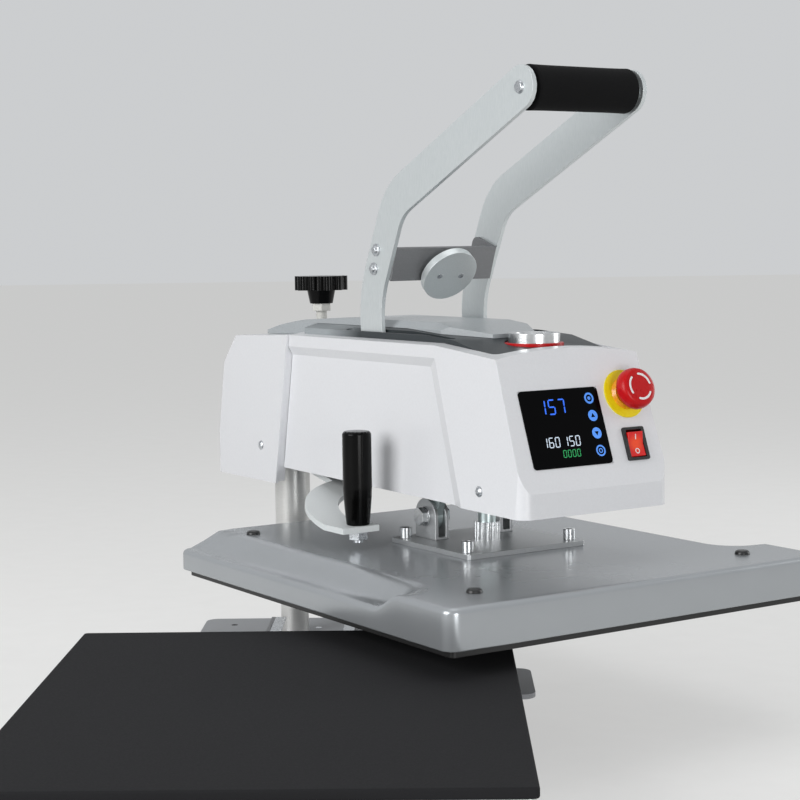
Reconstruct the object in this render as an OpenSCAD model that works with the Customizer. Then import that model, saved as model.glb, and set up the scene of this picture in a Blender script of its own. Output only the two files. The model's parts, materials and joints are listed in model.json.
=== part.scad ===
// Swing-away flat heat press with a pull-out lower platen and a magnet-held handle.
// Millimetres, +Z up, front towards -Y. Shown with the head swung out, the handle up and the drawer drawn.

/* [Work area] */
// Width of the silicone pad
pad_w = 400; // [340:5:420]
// Depth of the silicone pad, front to back
pad_d = 500; // [440:5:540]
// Thickness of the silicone pad
pad_t = 8; // [5:0.5:12]
// How much the lower platen is smaller than the pad, all round
lower_inset = 2; // [0:0.5:6]
// Thickness of the lower platen
lower_t = 10; // [6:0.5:16]
// How far the drawer is pulled out
drawer_out = 298; // [200:2:310]
// Distance from the column axis to the rear edge of both platens
rear_gap = 87; // [80:1:110]
// Sideways distance from the column axis to the centre line of both platens
col_off = 31; // [20:1:36]
// Swing of the head away from the closed position, degrees
swing = 34.2; // [25:0.1:60]

/* [Base] */
// Height of the rubber feet
foot_h = 20; // [14:1:30]
// Diameter of a rubber foot at the floor
foot_d = 36; // [28:1:44]
// Thickness of the base plate
base_t = 5; // [4:0.5:8]
// Corner radius of the base plate
base_r = 14; // [8:1:20]
// Width of the spine that joins the cross feet
spine_w = 230; // [200:5:250]
// Width of the rear foot round the column
rear_foot_w = 284; // [260:2:320]
// How far the rear foot reaches behind the column axis
rear_foot_back = 80; // [76:1:90]
// How far the rear foot reaches ahead of the column axis
rear_foot_fore = 70; // [60:1:90]
// Width of the middle cross foot
mid_foot_w = 460; // [430:5:500]
// Distance from the column axis to the middle foot's rear edge
mid_foot_back = 188; // [170:2:220]
// Front-to-back size of the middle cross foot
mid_foot_d = 112; // [90:2:130]
// Width of the front cross foot
front_foot_w = 390; // [360:5:400]
// Front-to-back size of the front cross foot
front_foot_d = 100; // [80:2:120]
// Clear height from the base plate to the lower platen
bed_h = 67; // [62:1:80]

/* [Drawer slides] */
// Distance between the inner faces of the slide brackets
bed_w = 90; // [80:2:110]
// Thickness of the slide bracket sheet
bracket_t = 4; // [3:0.5:6]
// Width of the slide bracket's foot flange
bracket_foot = 20; // [16:1:26]
// Height of the outer slide
slide_h = 36; // [32:1:40]
// Width of the outer slide
slide_w = 12; // [10:0.5:14]
// Wall of the outer slide
slide_wall = 2; // [1.5:0.25:3]
// Running gap between the slides
slide_gap = 0.4; // [0.3:0.1:0.8]
// Length of each slide
slide_len = 470; // [430:5:480]
// Width of the carriage's tray
tray_w = 300; // [260:5:340]
// Thickness of the carriage sheet
carriage_t = 4; // [3:0.5:5]
// Reach of the front pull ahead of the carriage
pull_reach = 50; // [40:1:60]
// Width of the front pull
pull_w = 160; // [120:5:200]
// Diameter of the pull's rod
pull_d = 11; // [9:0.5:14]

/* [Column] */
// Outer diameter of the column post
post_d = 32; // [28:0.5:34]
// Bore of the column post
post_bore = 22; // [16:0.5:24]
// Outer diameter of the swing sleeve
sleeve_d = 40; // [38:0.5:44]
// Diameter of the post's foot flange
flange_d = 96; // [86:1:104]
// Thickness of the post's foot flange
flange_t = 8; // [6:0.5:12]
// Pitch circle of the flange bolts
flange_pcd = 72; // [64:1:74]
// Diameter of the stop collar under the sleeve
collar_d = 54; // [48:1:60]
// Height of the stop collar
collar_h = 20; // [14:1:26]
// Height of the sleeve's lower end above the work face
sleeve_low = 30; // [26:1:40]

/* [Upper platen] */
// Width of the platen cover
cover_w = 440; // [420:5:460]
// Depth of the platen cover
cover_d = 500; // [480:5:520]
// Height of the platen cover
cover_h = 36.5; // [34:0.5:42]
// Height of the cover's lowered shoulders
shoulder_h = 21; // [20:0.5:26]
// Width of the level strip of a shoulder
shoulder_flat = 10; // [6:1:16]
// Width of the curved ramp of a shoulder
shoulder_ramp = 42; // [36:1:46]
// Distance from the cover's front edge to the end of a straight shoulder
shoulder_end = 130; // [120:1:140]
// Plan radius of the cover's corners
cover_r = 13; // [11:1:20]
// Wall of the platen cover
cover_wall = 3; // [2:0.25:4]
// How far the heating plate is inset from the cover's edge
heat_inset = 8; // [6:0.5:9]
// How far the heating plate shows below the cover
heat_show = 7; // [5:0.5:9]
// Thickness of the heating plate
heat_t = 18; // [14:0.5:18.5]
// Opening between the heating plate and the pad
press_gap = 16.5; // [14:0.5:18]
// Lengthwise distance of the cover plugs from the platen's centre
plug_u = 199; // [185:1:205]
// Sideways distance of the cover plugs from the platen's centre
plug_w = 158; // [150:1:160]
// Diameter of a cover plug
plug_d = 15; // [10:0.5:18]

/* [Press mount] */
// Front-to-back size of the mount plate
mount_d = 136; // [130:1:150]
// Width of the mount plate
mount_w = 142; // [136:1:156]
// Thickness of the mount plate
mount_t = 5; // [4:0.5:6]
// Lengthwise distance of the cap screws from the plate's centre
cap_u = 54; // [50:0.5:58]
// Sideways distance of the cap screws from the plate's centre
cap_w = 62; // [60:0.5:64]
// Diameter of a cap screw's head
cap_d = 12; // [10:0.5:13]
// Height of a cap screw's head
cap_h = 11; // [8:0.5:13]
// Height of the clevis pivots above the mount plate
clevis_h = 23; // [21:0.5:26]
// Distance from the yoke's shaft forward to the clevis pivots
clevis_fore = 4; // [2:0.5:5]
// Sideways distance of the toggle links from the centre line
link_w = 40; // [39:0.5:41]
// Thickness of a toggle link
link_t = 8; // [6:0.5:8]
// Width of a toggle link
link_b = 24; // [22:0.5:26]
// Thickness of a clevis ear
ear_t = 4; // [3:0.5:4.5]
// Width of a clevis ear
ear_b = 36; // [32:1:40]
// Diameter of a clevis bolt
clevis_d = 10; // [8:0.5:12]
// Diameter of the guide spindle
spindle_d = 18; // [16:0.5:20]
// Height of the guide spindle above the mount plate
spindle_h = 100; // [95:1:104]

/* [Housing] */
// Gap between the platen cover and the housing
housing_gap = 52; // [50:1:60]
// Height of the housing's sides
housing_h = 152; // [148:1:158]
// Half width of the housing at its lower edge
housing_hw = 88; // [86:0.5:90]
// Half width of the housing at the top of its sides
housing_top_hw = 83; // [82:0.5:85]
// Rise of the housing's lower edge from front to back
belly = 6; // [2:0.5:8]
// Distance from the column axis to the housing's front
housing_front = 512; // [508:1:525]
// Height of the plain lip below the panel
lip_h = 23; // [18:1:28]
// Backward lean of the control panel, degrees
rake = 20; // [16:0.5:22]
// Rise of the crowned top from the sides to the middle
crown = 7; // [5:0.5:9]
// Fall of the top ahead of the bar slots, degrees
top_fall = 5.2; // [4:0.1:6]
// Depth of the recess in each flank
recess = 6; // [4:0.25:6.5]
// Wall of the housing
wall = 3; // [2:0.25:4]
// Plan radius of the housing's front corners
front_r = 13; // [8:1:16]
// Plan radius of the rear cover's corners
rear_r = 12; // [8:1:18]
// Place of the seam at the bottom, ahead of the column axis
seam_low = 70; // [66:1:76]
// Place of the seam at the top, ahead of the column axis
seam_high = 90; // [86:1:96]
// Reach of the rear cover behind the column axis
rear_reach = 70; // [66:1:76]
// How far the rear cover hangs below the housing
rear_drop = 11; // [6:1:16]
// Height of the raised hood above the crown
hood_h = 14; // [10:0.5:16]
// Half width of the hood's level top
hood_top_hw = 41; // [36:1:46]
// Width of a bar slot
slot_w = 10; // [9:0.5:11]
// Rear end of the bar slots, ahead of the column axis
slot_back = 182; // [176:1:186]
// Front end of the bar slots, ahead of the column axis
slot_fore = 374; // [370:1:378]

/* [Control panel] */
// Width of the display glass
display_w = 92; // [80:1:96]
// Height of the display glass
display_h = 74; // [66:1:78]
// Sideways place of the display, to the right of the centre line
display_x = -21.5; // [-24:0.5:-19]
// Place of the display's middle up the panel
display_s = 59; // [56:0.5:62]
// Sideways place of the emergency stop
estop_x = 56; // [54:0.5:57]
// Place of the emergency stop up the panel
estop_s = 87; // [84:0.5:92]
// Diameter of the emergency stop's legend disc
legend_d = 47; // [42:0.5:48]
// Diameter of the emergency stop's mushroom
mushroom_d = 39.5; // [36:0.5:42]
// Travel of the emergency stop
estop_travel = 4; // [3:0.5:5]
// Sideways place of the rocker switch
rocker_x = 55.5; // [53:0.5:57]
// Place of the rocker switch up the panel
rocker_s = 38; // [35:0.5:40]
// Width of the rocker frame
rocker_w = 26; // [24:0.5:28]
// Height of the rocker frame
rocker_h = 32; // [30:0.5:34]
// Tilt of the rocker key each way, degrees
rocker_tilt = 7; // [5:0.5:8]

/* [Handle yoke] */
// Place of the yoke's shaft ahead of the column axis
piv_u = 294; // [290:1:298]
// Height of the yoke's shaft above the housing's lower edge
piv_h = 47; // [46:0.5:50]
// Swing of the handle from up to pressed, degrees
tilt = 52; // [50:0.5:54]
// Sideways distance of the bars from the centre line
bar_x = 64; // [63.5:0.5:65]
// Thickness of a bar
bar_t = 4.5; // [4:0.5:5]
// Width of a bar
bar_b = 40; // [36:0.5:42]
// Diameter of the yoke's shaft
shaft_d = 20; // [18:0.5:22]
// Diameter of the foam grip
grip_d = 42; // [36:0.5:44]
// Diameter of the tube in the grip
tube_d = 25; // [22:0.5:28]
// Diameter of the armature disc
disc_d = 60; // [54:0.5:62]
// Thickness of the armature disc
disc_t = 8; // [6:0.5:9]
// Place of the electromagnet ahead of the column axis
magnet_u = 417; // [414:1:420]
// Diameter of the electromagnet
magnet_d = 50; // [46:0.5:52]
// Height of the electromagnet above the housing's lower edge
magnet_h = 163; // [162:0.5:165]

/* [Pressure adjuster] */
// Place of the pressure screw ahead of the column axis
screw_u = 20; // [16:0.5:24]
// Diameter of the pressure screw
screw_d = 12; // [10:0.5:14]
// Diameter of the star knob
knob_d = 60; // [52:1:66]
// Thickness of the star knob's rim
knob_t = 16; // [12:0.5:20]
// Lobes on the star knob
knob_lobes = 10; // [6:1:12]

/* [Swing handle] */
// Place of the swing grip ahead of the column axis
swing_u = 282; // [276:1:290]
// Sideways distance of the swing grip from the centre line
swing_w = 118; // [112:1:124]
// Height of the hook's level end above the platen cover
hook_h = 18; // [16:0.5:20]
// Thickness of the hook plate
hook_t = 6; // [5:0.5:7]
// Radius of the hook's outer edge
hook_r = 122; // [116:1:126]
// Width of the hook's curved band
hook_b = 34; // [30:1:40]
// Slope of the hook's curved band, degrees
hook_slope = 12; // [11:0.25:12.5]
// Length of the swing grip
grip_h = 94; // [85:1:100]
// Diameter of the swing grip
swing_d = 29; // [24:0.5:32]

/* [Hidden] */
$fn = 64;
eps = 0.01;
// Radial clearance of fixed and of turning round fits, and the clearance of flat neighbours
fit = 0.04;
run = 0.06;
gap = 0.3;

// Levels from the floor up
z_base = foot_h + base_t;
z_lower = z_base + bed_h;
z_pad = z_lower + lower_t;
z_work = z_pad + pad_t;
z_heat = z_work + press_gap;
z_cover = z_heat + heat_show;
z_top = z_cover + cover_h;
z_mount = z_top + mount_t;
z_clevis = z_mount + clevis_h;
z_house = z_top + housing_gap;
z_side = z_house + housing_h;
z_crown = z_side + crown;
z_piv = z_house + piv_h;
z_magnet = z_house + magnet_h;
z_hood = z_crown + hood_h;

// Half width of the housing at a height, and where its seam lies: the flanks lean in, the seam leans back
function half_w(z) = housing_hw - (housing_hw - housing_top_hw) * (z - z_house) / housing_h;
function seam(z) = seam_low + (seam_high - seam_low) * (z - z_house) / housing_h;
flank_lean = atan((housing_hw - housing_top_hw) / housing_h);

// Column axis in the part's frame: the origin is the middle of the outline on the floor
corner_x = col_off + cover_w / 2 - cover_r;
corner_y = rear_gap + cover_d - cover_r;
right_reach = corner_x * cos(swing) + corner_y * sin(swing) + cover_r;
left_reach = mid_foot_w / 2 - col_off;
rear_hw = half_w(z_house - rear_drop) + wall;
head_back = (col_off + rear_hw - rear_r) * sin(swing) + (rear_reach - rear_r) * cos(swing) + rear_r;
back_reach = max(rear_foot_back, head_back);
carriage_inset = 25;
pull_ahead = pull_reach - carriage_inset;
front_reach = rear_gap + pad_d + drawer_out + max(0, pull_ahead);
col_x = (left_reach - right_reach) / 2;
col_y = (front_reach - back_reach) / 2;

// Drawer slides
bed_x = bed_w / 2;
slide_z = z_base + 2;
slide_back = rear_gap + 8;
inner_h = slide_h - 2 * slide_wall - 2 * slide_gap;
inner_z = slide_z + slide_wall + slide_gap;
inner_x1 = bed_x - slide_wall - slide_gap;
flange_x = bed_x - slide_w - slide_gap;
carriage_x = flange_x;

// Toggle: the crank radius that lowers the platen by its travel over the handle's swing
travel = press_gap - 0.5;
clevis_u = piv_u + clevis_fore;
drop_z = z_piv - z_clevis;
crank_r = (pow(drop_z + travel, 2) - pow(drop_z, 2))
    / (2 * (drop_z * (1 - cos(tilt)) + travel - clevis_fore * sin(tilt)));
pin_u = piv_u + crank_r * sin(tilt);
pin_z = z_piv - crank_r * cos(tilt);
link_len = norm([pin_u - clevis_u, pin_z - z_clevis]);
link_lean = atan2(pin_u - clevis_u, pin_z - z_clevis);
pin_d = 11;
// The link's upper eye is left wide, because the loop is opened there
eye_play = 5.2;
eye_r = pin_d / 2 + eye_play;

// Arm
arm_x = 52;
arm_t = 6;
arm_low = 14;
arm_high = 122;
arm_z0 = z_house + arm_low;
arm_z1 = z_house + arm_high;
block_fore = 45;
block_back = 30;
block_hw = 60;
arm_rim = 14;
arm_fore = magnet_u + magnet_d / 2 + arm_rim;
floor_t = 6;
platen_u = rear_gap + cover_d / 2;
bush_wall = 3;
bush_lip = 2;
post_r = 7;
boss_u = arm_fore - 10;
boss_z = arm_z0 + 6;
rear_boss_u = block_fore - 10;
rear_boss_z = z_house + 28;

// Panel
panel_u = housing_front;
panel_z = z_house + lip_h;
crown_r = (pow(housing_top_hw, 2) + pow(crown, 2)) / (2 * crown);
fall_u = 370;
panel_sink = 2;

// Handle: grip axis, upper bend, knee and elbow of the bars, ahead of the column axis
// and above the housing's foot
grip_u = 485;
grip_rise = 388;
grip_z = z_house + grip_rise;
bend_u = 274;
bend_rise = 292;
bend_z = z_house + bend_rise;
knee_u = 230;
knee_rise = 199;
knee_z = z_house + knee_rise;
elbow_u = 229;
elbow_rise = 148;
elbow_z = z_house + elbow_rise;
hub_r = 28;

// Frames: the base, the drawer, the swung arm, the panel and the handle in its pressed position
module bed() translate([col_x + col_off, col_y, 0]) children();
module drawer() bed() translate([0, -drawer_out, 0]) children();
module column() translate([col_x, col_y, 0]) children();
module arm() column() rotate(swing) translate([col_off, 0, 0]) children();
module panel() arm() translate([0, -panel_u, panel_z]) rotate([90 - rake, 0, 0]) children();
module pressed_yoke()
    arm() translate([0, -piv_u, z_piv]) rotate([-tilt, 0, 0]) translate([0, piv_u, -z_piv]) children();

// Rectangle with round corners
module rrect(w, d, r) {
    square([w - 2 * r, d], center = true);
    square([w, d - 2 * r], center = true);
    for (x = [-1, 1], y = [-1, 1]) translate([x * (w / 2 - r), y * (d / 2 - r)]) circle(r);
}

// Slab across the press between two sideways places, from a side view with forward to the right
module side_slab(x0, x1) translate([x0, 0, 0]) rotate([90, 0, 90])
    linear_extrude(x1 - x0) mirror([1, 0]) children();

// Round bar across the press at a place ahead of the column axis
module cross_rod(u, z, x0, x1, r) translate([x0, -u, z]) rotate([0, 90, 0]) cylinder(h = x1 - x0, r = r);

// Straight strip between two points of a side view
module strip(a, b, w) {
    d = b - a;
    translate(a) rotate(atan2(d[1], d[0])) translate([0, -w / 2]) square([norm(d), w]);
}

// Round disc of a side view
module spot(p, r) translate(p) circle(r);

// Hexagon head or nut
module hex(af, h) cylinder(h = h, r = af / (2 * cos(30)), $fn = 6);

// The same thing on both sides of the centre line
module both() {
    children();
    mirror([1, 0, 0]) children();
}

// Base

foot_spots = [
    [rear_foot_w / 2 - foot_d, rear_foot_back - foot_d],
    [mid_foot_w / 2 - foot_d, -mid_foot_back - mid_foot_d / 2],
    [front_foot_w / 2 - foot_d, -rear_gap - pad_d + foot_d + 20]
];
front_foot_y = -rear_gap - pad_d + 20 + front_foot_d / 2;

module base_outline() {
    translate([0, (rear_foot_back - rear_foot_fore) / 2])
        rrect(rear_foot_w, rear_foot_back + rear_foot_fore, base_r);
    translate([0, -mid_foot_back - mid_foot_d / 2]) rrect(mid_foot_w, mid_foot_d, base_r);
    translate([0, front_foot_y]) rrect(front_foot_w, front_foot_d, base_r);
    translate([-spine_w / 2, front_foot_y]) square([spine_w, -front_foot_y]);
}

module flange_holes(r) for (a = [45:90:315]) rotate(a) translate([flange_pcd / 2, 0]) circle(r);

bolt_r = 4;

module base_plate() color("dimgray") bed() translate([0, 0, foot_h]) linear_extrude(base_t) difference() {
    base_outline();
    translate([-col_off, 0]) {
        flange_holes(bolt_r + gap);
        circle(post_d / 2 + fit);
    }
    for (p = foot_spots, s = [-1, 1]) translate([s * p[0], p[1]]) circle(foot_pin_r + fit);
}

foot_pin_r = 4;

module base_feet() color("black") bed() for (p = foot_spots, s = [-1, 1])
    translate([s * p[0], p[1], 0]) rotate_extrude() polygon([
        [0, 0], [foot_d / 2 - 1.5, 0], [foot_d / 2, 1.5], [foot_d / 2 - 3, foot_h],
        [foot_pin_r, foot_h], [foot_pin_r, z_base], [0, z_base]
    ]);

// Sheet angle that carries an outer slide, with round lightening holes
module slide_brackets() color("dimgray") bed() both() difference() {
    translate([0, -slide_back, 0]) rotate([90, 0, 0]) linear_extrude(slide_len) polygon([
        [bed_x, z_base], [bed_x + bracket_foot, z_base], [bed_x + bracket_foot, z_base + bracket_t],
        [bed_x + bracket_t, z_base + bracket_t], [bed_x + bracket_t, slide_z + slide_h],
        [bed_x, slide_z + slide_h]
    ]);
    for (i = [0.5:1:4.5]) translate([bed_x - eps, -slide_back - i * slide_len / 5, slide_z + slide_h / 2])
        rotate([0, 90, 0]) cylinder(h = bracket_t + 2 * eps, r = slide_h / 4);
}

module outer_slides() color("silver") bed() both() translate([0, -slide_back, 0]) rotate([90, 0, 0])
    linear_extrude(slide_len) translate([bed_x - slide_w, slide_z]) difference() {
        square([slide_w, slide_h]);
        translate([-eps, slide_wall]) square([slide_w - slide_wall + eps, slide_h - 2 * slide_wall]);
    }

module inner_slides() color("silver") drawer() both() translate([0, -slide_back, 0]) rotate([90, 0, 0])
    linear_extrude(slide_len) translate([carriage_x, inner_z]) square([inner_x1 - carriage_x, inner_h]);

// Tray under the lower platen on two flanges that the slides carry, with a front flange for the pull
carriage_d = pad_d - 2 * carriage_inset;
carriage_y = -rear_gap - carriage_inset;
front_h = 28;
tray_hole_r = 36;

module drawer_carriage() color("gray") drawer() difference() {
    union() {
        translate([-tray_w / 2, carriage_y - carriage_d, z_lower - carriage_t])
            cube([tray_w, carriage_d, carriage_t]);
        both() translate([carriage_x - carriage_t, carriage_y - carriage_d, inner_z])
            cube([carriage_t, carriage_d, z_lower - carriage_t / 2 - inner_z]);
        translate([-pull_w / 2 - pull_d, carriage_y - carriage_d, z_lower - front_h])
            cube([pull_w + 2 * pull_d, carriage_t, front_h]);
    }
    for (x = [-1, 1], y = [-1, 1])
        translate([x * (tray_w / 2 + carriage_x) / 2, carriage_y - carriage_d / 2 + y * carriage_d / 4,
            z_lower - carriage_t - eps])
            cylinder(h = carriage_t + 2 * eps, r = tray_hole_r);
}

module lower_platen() color("gainsboro") drawer() translate([0, -rear_gap - pad_d / 2, z_lower])
    linear_extrude(lower_t) rrect(pad_w - 2 * lower_inset, pad_d - 2 * lower_inset, 6);

module silicone_pad() color([0.16, 0.16, 0.17]) drawer() translate([0, -rear_gap - pad_d / 2, z_pad])
    linear_extrude(pad_t) rrect(pad_w, pad_d, 4);

// Bent rod with two legs into the carriage's front flange
pull_bend = 16;

module drawer_pull() color("black") drawer() translate([0, carriage_y - carriage_d, z_lower - front_h / 2]) {
    x = pull_w / 2 - pull_bend;
    leg = pull_reach - pull_d / 2 - pull_bend;
    rotate([0, 90, 0]) translate([0, -leg - pull_bend, -x]) cylinder(h = 2 * x, r = pull_d / 2);
    both() {
        translate([pull_w / 2, 0, 0]) rotate([90, 0, 0]) cylinder(h = leg, r = pull_d / 2);
        translate([x, -leg, 0]) rotate(-90) rotate_extrude(angle = 90)
            translate([pull_bend, 0]) circle(pull_d / 2);
    }
}

// Column

z_sleeve = z_work + sleeve_low;
z_flange = foot_h - flange_t;
bolt_head = 5.5;
z_post = z_house + 124;

// The post stands in a hole of the base plate, bolted up from its flange below
module column_post() color("lightgray") column() difference() {
    union() {
        translate([0, 0, z_flange]) cylinder(h = z_post - z_flange, r = post_d / 2);
        translate([0, 0, z_flange]) cylinder(h = flange_t, r = flange_d / 2);
    }
    translate([0, 0, z_flange - eps]) cylinder(h = z_post - z_flange + 2 * eps, r = post_bore / 2);
    translate([0, 0, z_flange - eps]) linear_extrude(flange_t + 2 * eps) flange_holes(bolt_r + gap);
}

module column_bolts() color("silver") column() for (a = [45:90:315])
    rotate(a) translate([flange_pcd / 2, 0, 0]) {
    translate([0, 0, z_flange]) cylinder(h = base_t + flange_t, r = bolt_r);
    translate([0, 0, z_flange - bolt_head]) hex(13, bolt_head + eps);
}

module stop_collar() color("silver") column() translate([0, 0, z_sleeve - gap - collar_h]) difference() {
    cylinder(h = collar_h, r = collar_d / 2);
    translate([0, 0, -eps]) cylinder(h = collar_h + 2 * eps, r = post_d / 2 + fit);
    translate([0, 0, collar_h / 2]) rotate([90, 0, 0]) cylinder(h = collar_d, r = 3);
}

// Head structure

z_sleeve_top = arm_z1;

module swing_sleeve() color("lightgray") column() rotate(swing) translate([0, 0, z_sleeve]) difference() {
    cylinder(h = z_sleeve_top - z_sleeve, r = sleeve_d / 2);
    translate([0, 0, -eps]) cylinder(h = z_sleeve_top - z_sleeve + 2 * eps, r = post_d / 2 + run);
}

screw_hole = 52;

module swing_block() color("dimgray") arm() difference() {
    translate([0, (block_back - block_fore) / 2, arm_z0]) linear_extrude(arm_z1 - arm_z0)
        rrect(2 * block_hw, block_back + block_fore, 6);
    translate([-col_off, 0, arm_z0 - eps]) cylinder(h = arm_z1 - arm_z0 + 2 * eps, r = sleeve_d / 2 + fit);
    translate([0, -screw_u, arm_z1 - screw_hole]) cylinder(h = screw_hole + eps, r = screw_d / 2 + run);
}

bush_r = shaft_d / 2 + run + bush_wall;
shaft_spot = [piv_u, z_piv];

// Side plate: nose below the magnet's shelf, high back from the swing block to the shaft, two lightening holes
nose_h = 24;
nose_back = 20;
nose_rise = 44;
shelf_back = 62;
high_fore = 50;
high_fall = 12;
high_back = 60;
light_r = 26;
light_at = [45, 125];

module arm_side() difference() {
    polygon([
        [block_fore, arm_z0], [arm_fore, arm_z0], [arm_fore, arm_z0 + nose_h],
        [arm_fore - nose_back, arm_z0 + nose_rise], [arm_fore - nose_back, z_magnet - pot_h],
        [arm_fore - shelf_back, z_magnet - pot_h], [piv_u + high_fore, arm_z1 - high_fall],
        [piv_u - high_back, arm_z1], [block_fore, arm_z1]
    ]);
    spot(shaft_spot, bush_r + fit);
    for (d = light_at) spot([block_fore + d, (arm_z0 + arm_z1) / 2], light_r);
}

module arm_plates() color("dimgray") arm() for (x = [-arm_x - arm_t, arm_x]) side_slab(x, x + arm_t) arm_side();

// Floor between the side plates, with a bush hole and two openings for the cranks and links
floor_rim = 16;
eye_wall = 5;
crank_clear = 10;
crank_fore = pin_u + eye_r + eye_wall + crank_clear;
floor_reach = 60;
floor_fore = max(platen_u + floor_reach, crank_fore + floor_rim);
floor_back = piv_u - floor_reach;
crank_back = floor_back + floor_rim;
bush_floor_r = spindle_d / 2 + run + bush_wall;

module arm_floor() color("dimgray") arm() translate([0, 0, arm_z0]) linear_extrude(floor_t) difference() {
    translate([-arm_x, -floor_fore]) square([2 * arm_x, floor_fore - floor_back]);
    translate([0, -platen_u]) circle(bush_floor_r + fit);
    both() translate([cheek_x0 - cheek_t - 2, -crank_fore]) square([arm_x, crank_fore - crank_back]);
}

// Cross ties of the arm, the magnet's shelf, and the bosses that carry the two covers
tie_u = 70;
tie_b = 50;

module arm_ties() color("dimgray") arm() {
    translate([-arm_x, -block_fore - tie_u, arm_z1 - floor_t]) cube([2 * arm_x, tie_b, floor_t]);
    translate([-arm_x, -arm_fore + arm_rim, z_magnet - pot_h - floor_t]) cube([2 * arm_x, magnet_d, floor_t]);
    both() {
        cross_rod(boss_u, boss_z, arm_x + arm_t, half_w(boss_z + post_r) - wall - fit, post_r);
        cross_rod(rear_boss_u, rear_boss_z, block_hw, half_w(rear_boss_z + post_r) - fit, post_r);
    }
}

module pivot_bushes() color("goldenrod") arm() both() difference() {
    union() {
        cross_rod(piv_u, z_piv, arm_x, arm_x + arm_t, bush_r);
        cross_rod(piv_u, z_piv, arm_x - bush_lip, arm_x, bush_r + 3);
    }
    cross_rod(piv_u, z_piv, arm_x - bush_lip - eps, arm_x + arm_t + eps, shaft_d / 2 + run);
}

module spindle_bush() color("goldenrod") arm() translate([0, -platen_u, 0]) difference() {
    union() {
        translate([0, 0, arm_z0]) cylinder(h = floor_t + 10, r = bush_floor_r);
        translate([0, 0, arm_z0 - 8]) cylinder(h = 8, r = bush_floor_r + 3);
    }
    translate([0, 0, arm_z0 - 8 - eps]) cylinder(h = floor_t + 18 + 2 * eps, r = spindle_d / 2 + run);
}

// Pot magnet with a coil groove in its pole face
pot_h = 50;
pot_wall = 6;
coil_w = 8;
coil_sink = 2;

module electromagnet() color("silver") arm() translate([0, -magnet_u, z_magnet - pot_h])
    rotate_extrude() polygon([
    [0, 0], [magnet_d / 2, 0], [magnet_d / 2, pot_h], [magnet_d / 2 - pot_wall, pot_h],
    [magnet_d / 2 - pot_wall, pot_h - coil_sink], [magnet_d / 2 - pot_wall - coil_w, pot_h - coil_sink],
    [magnet_d / 2 - pot_wall - coil_w, pot_h], [0, pot_h]
]);

// Red bezel between the magnet and the top panel, just proud of the panel
ring_w = 3.5;
ring_h = 7;
ring_proud = 0.8;
ring_z = z_crown - panel_sink - (magnet_u - fall_u) * tan(top_fall) + ring_proud - ring_h;

module magnet_ring() color("red") arm() translate([0, -magnet_u, ring_z]) rotate_extrude()
    translate([magnet_d / 2 + fit, 0]) square([ring_w - fit, ring_h]);

// Covers

module top_arc(t) translate([0, z_crown - crown_r]) circle(crown_r - t, $fn = 180);

// Crowned space under the top, across the press, between two places ahead of the column axis
module crown_slab(u0, u1, t) translate([0, -u0, 0]) rotate([90, 0, 0]) linear_extrude(u1 - u0) top_arc(t);

// Crowned space under the whole top: level, then falling ahead of the bar slots
module under_top(t) intersection() {
    crown_slab(0, housing_front + 10, t);
    translate([0, -fall_u, z_crown]) rotate([top_fall, 0, 0]) translate([0, fall_u, -z_crown])
        crown_slab(-10, housing_front + 20, t);
}

// Space between the leaning flanks
module between_flanks(t) translate([0, 2 * rear_reach, 0]) rotate([90, 0, 0])
    linear_extrude(2 * rear_reach + 2 * housing_front) {
        low = z_house - 2 * rear_drop;
        high = z_crown + 2 * crown;
        w_low = half_w(low) - t;
        w_high = half_w(high) - t;
        polygon([[-w_low, low], [w_low, low], [w_high, high], [-w_high, high]]);
    }

// Place on the right flank, square to it
module flank_spot(u, z, out) translate([half_w(z) + out, -u, z]) rotate([0, 90 - flank_lean, 0]) children();

// Recess of the right flank: a chamfered strip above its floor, closed in front by a slanted chamfered band
strip_low = housing_h - 21;
strip_b = 9;
band_u = 418;
band_lean = 19;
band_b = 17;
flank_clear = 20;
flank_back = seam_low - flank_clear;

module flank_recess(t) translate([housing_hw, 0, z_house]) rotate([0, -flank_lean, 0])
    translate([-t, 0, 0]) intersection() {
        translate([0, -flank_back + t, 0]) rotate([90, 0, 0]) linear_extrude(housing_front) polygon([
            [-recess, -flank_clear], [-recess, strip_low],
            [flank_clear, strip_low + strip_b * (1 + flank_clear / recess)], [flank_clear, -flank_clear]
        ]);
        translate([0, -band_u, 0]) rotate([-band_lean, 0, 0]) translate([0, 0, -housing_h])
            linear_extrude(3 * housing_h) polygon([
                [-recess, band_b], [flank_clear, -band_b * flank_clear / recess],
                [flank_clear, housing_front], [-recess, housing_front]
            ]);
    }

// Side view of the main housing, drawn in by a wall thickness
module housing_side(t) {
    open = t > 0 ? 2 : 0;
    low = z_house + belly - open;
    polygon([
        [seam(low) + gap - open, low], [panel_u - t, z_house - open],
        [panel_u - t, panel_z + t * tan(rake / 2)],
        [panel_u - (z_crown - panel_z) * tan(rake) - t / cos(rake), z_crown],
        [seam(z_crown) + gap - open, z_crown]
    ]);
}

module housing_form(t) intersection() {
    side_slab(-rear_hw, rear_hw) housing_side(t);
    between_flanks(t);
    under_top(t);
    translate([0, 0, z_house - 10]) linear_extrude(housing_h + 40) {
        translate([-rear_hw, -housing_front + 2 * front_r]) square([2 * rear_hw, housing_front]);
        translate([0, -housing_front + t + 2 * front_r]) rrect(2 * (housing_hw - t), 4 * front_r, front_r - t);
    }
}

panel_back = 100;
top_open_hw = housing_top_hw - 11;
top_open_fore = panel_u - (z_side - panel_z) * tan(rake) - 12;
top_open_back = seam_high + 8;

module top_opening(t) translate([0, -(top_open_back + top_open_fore) / 2])
    rrect(2 * (top_open_hw - t), top_open_fore - top_open_back - 2 * t, 8);

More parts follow.
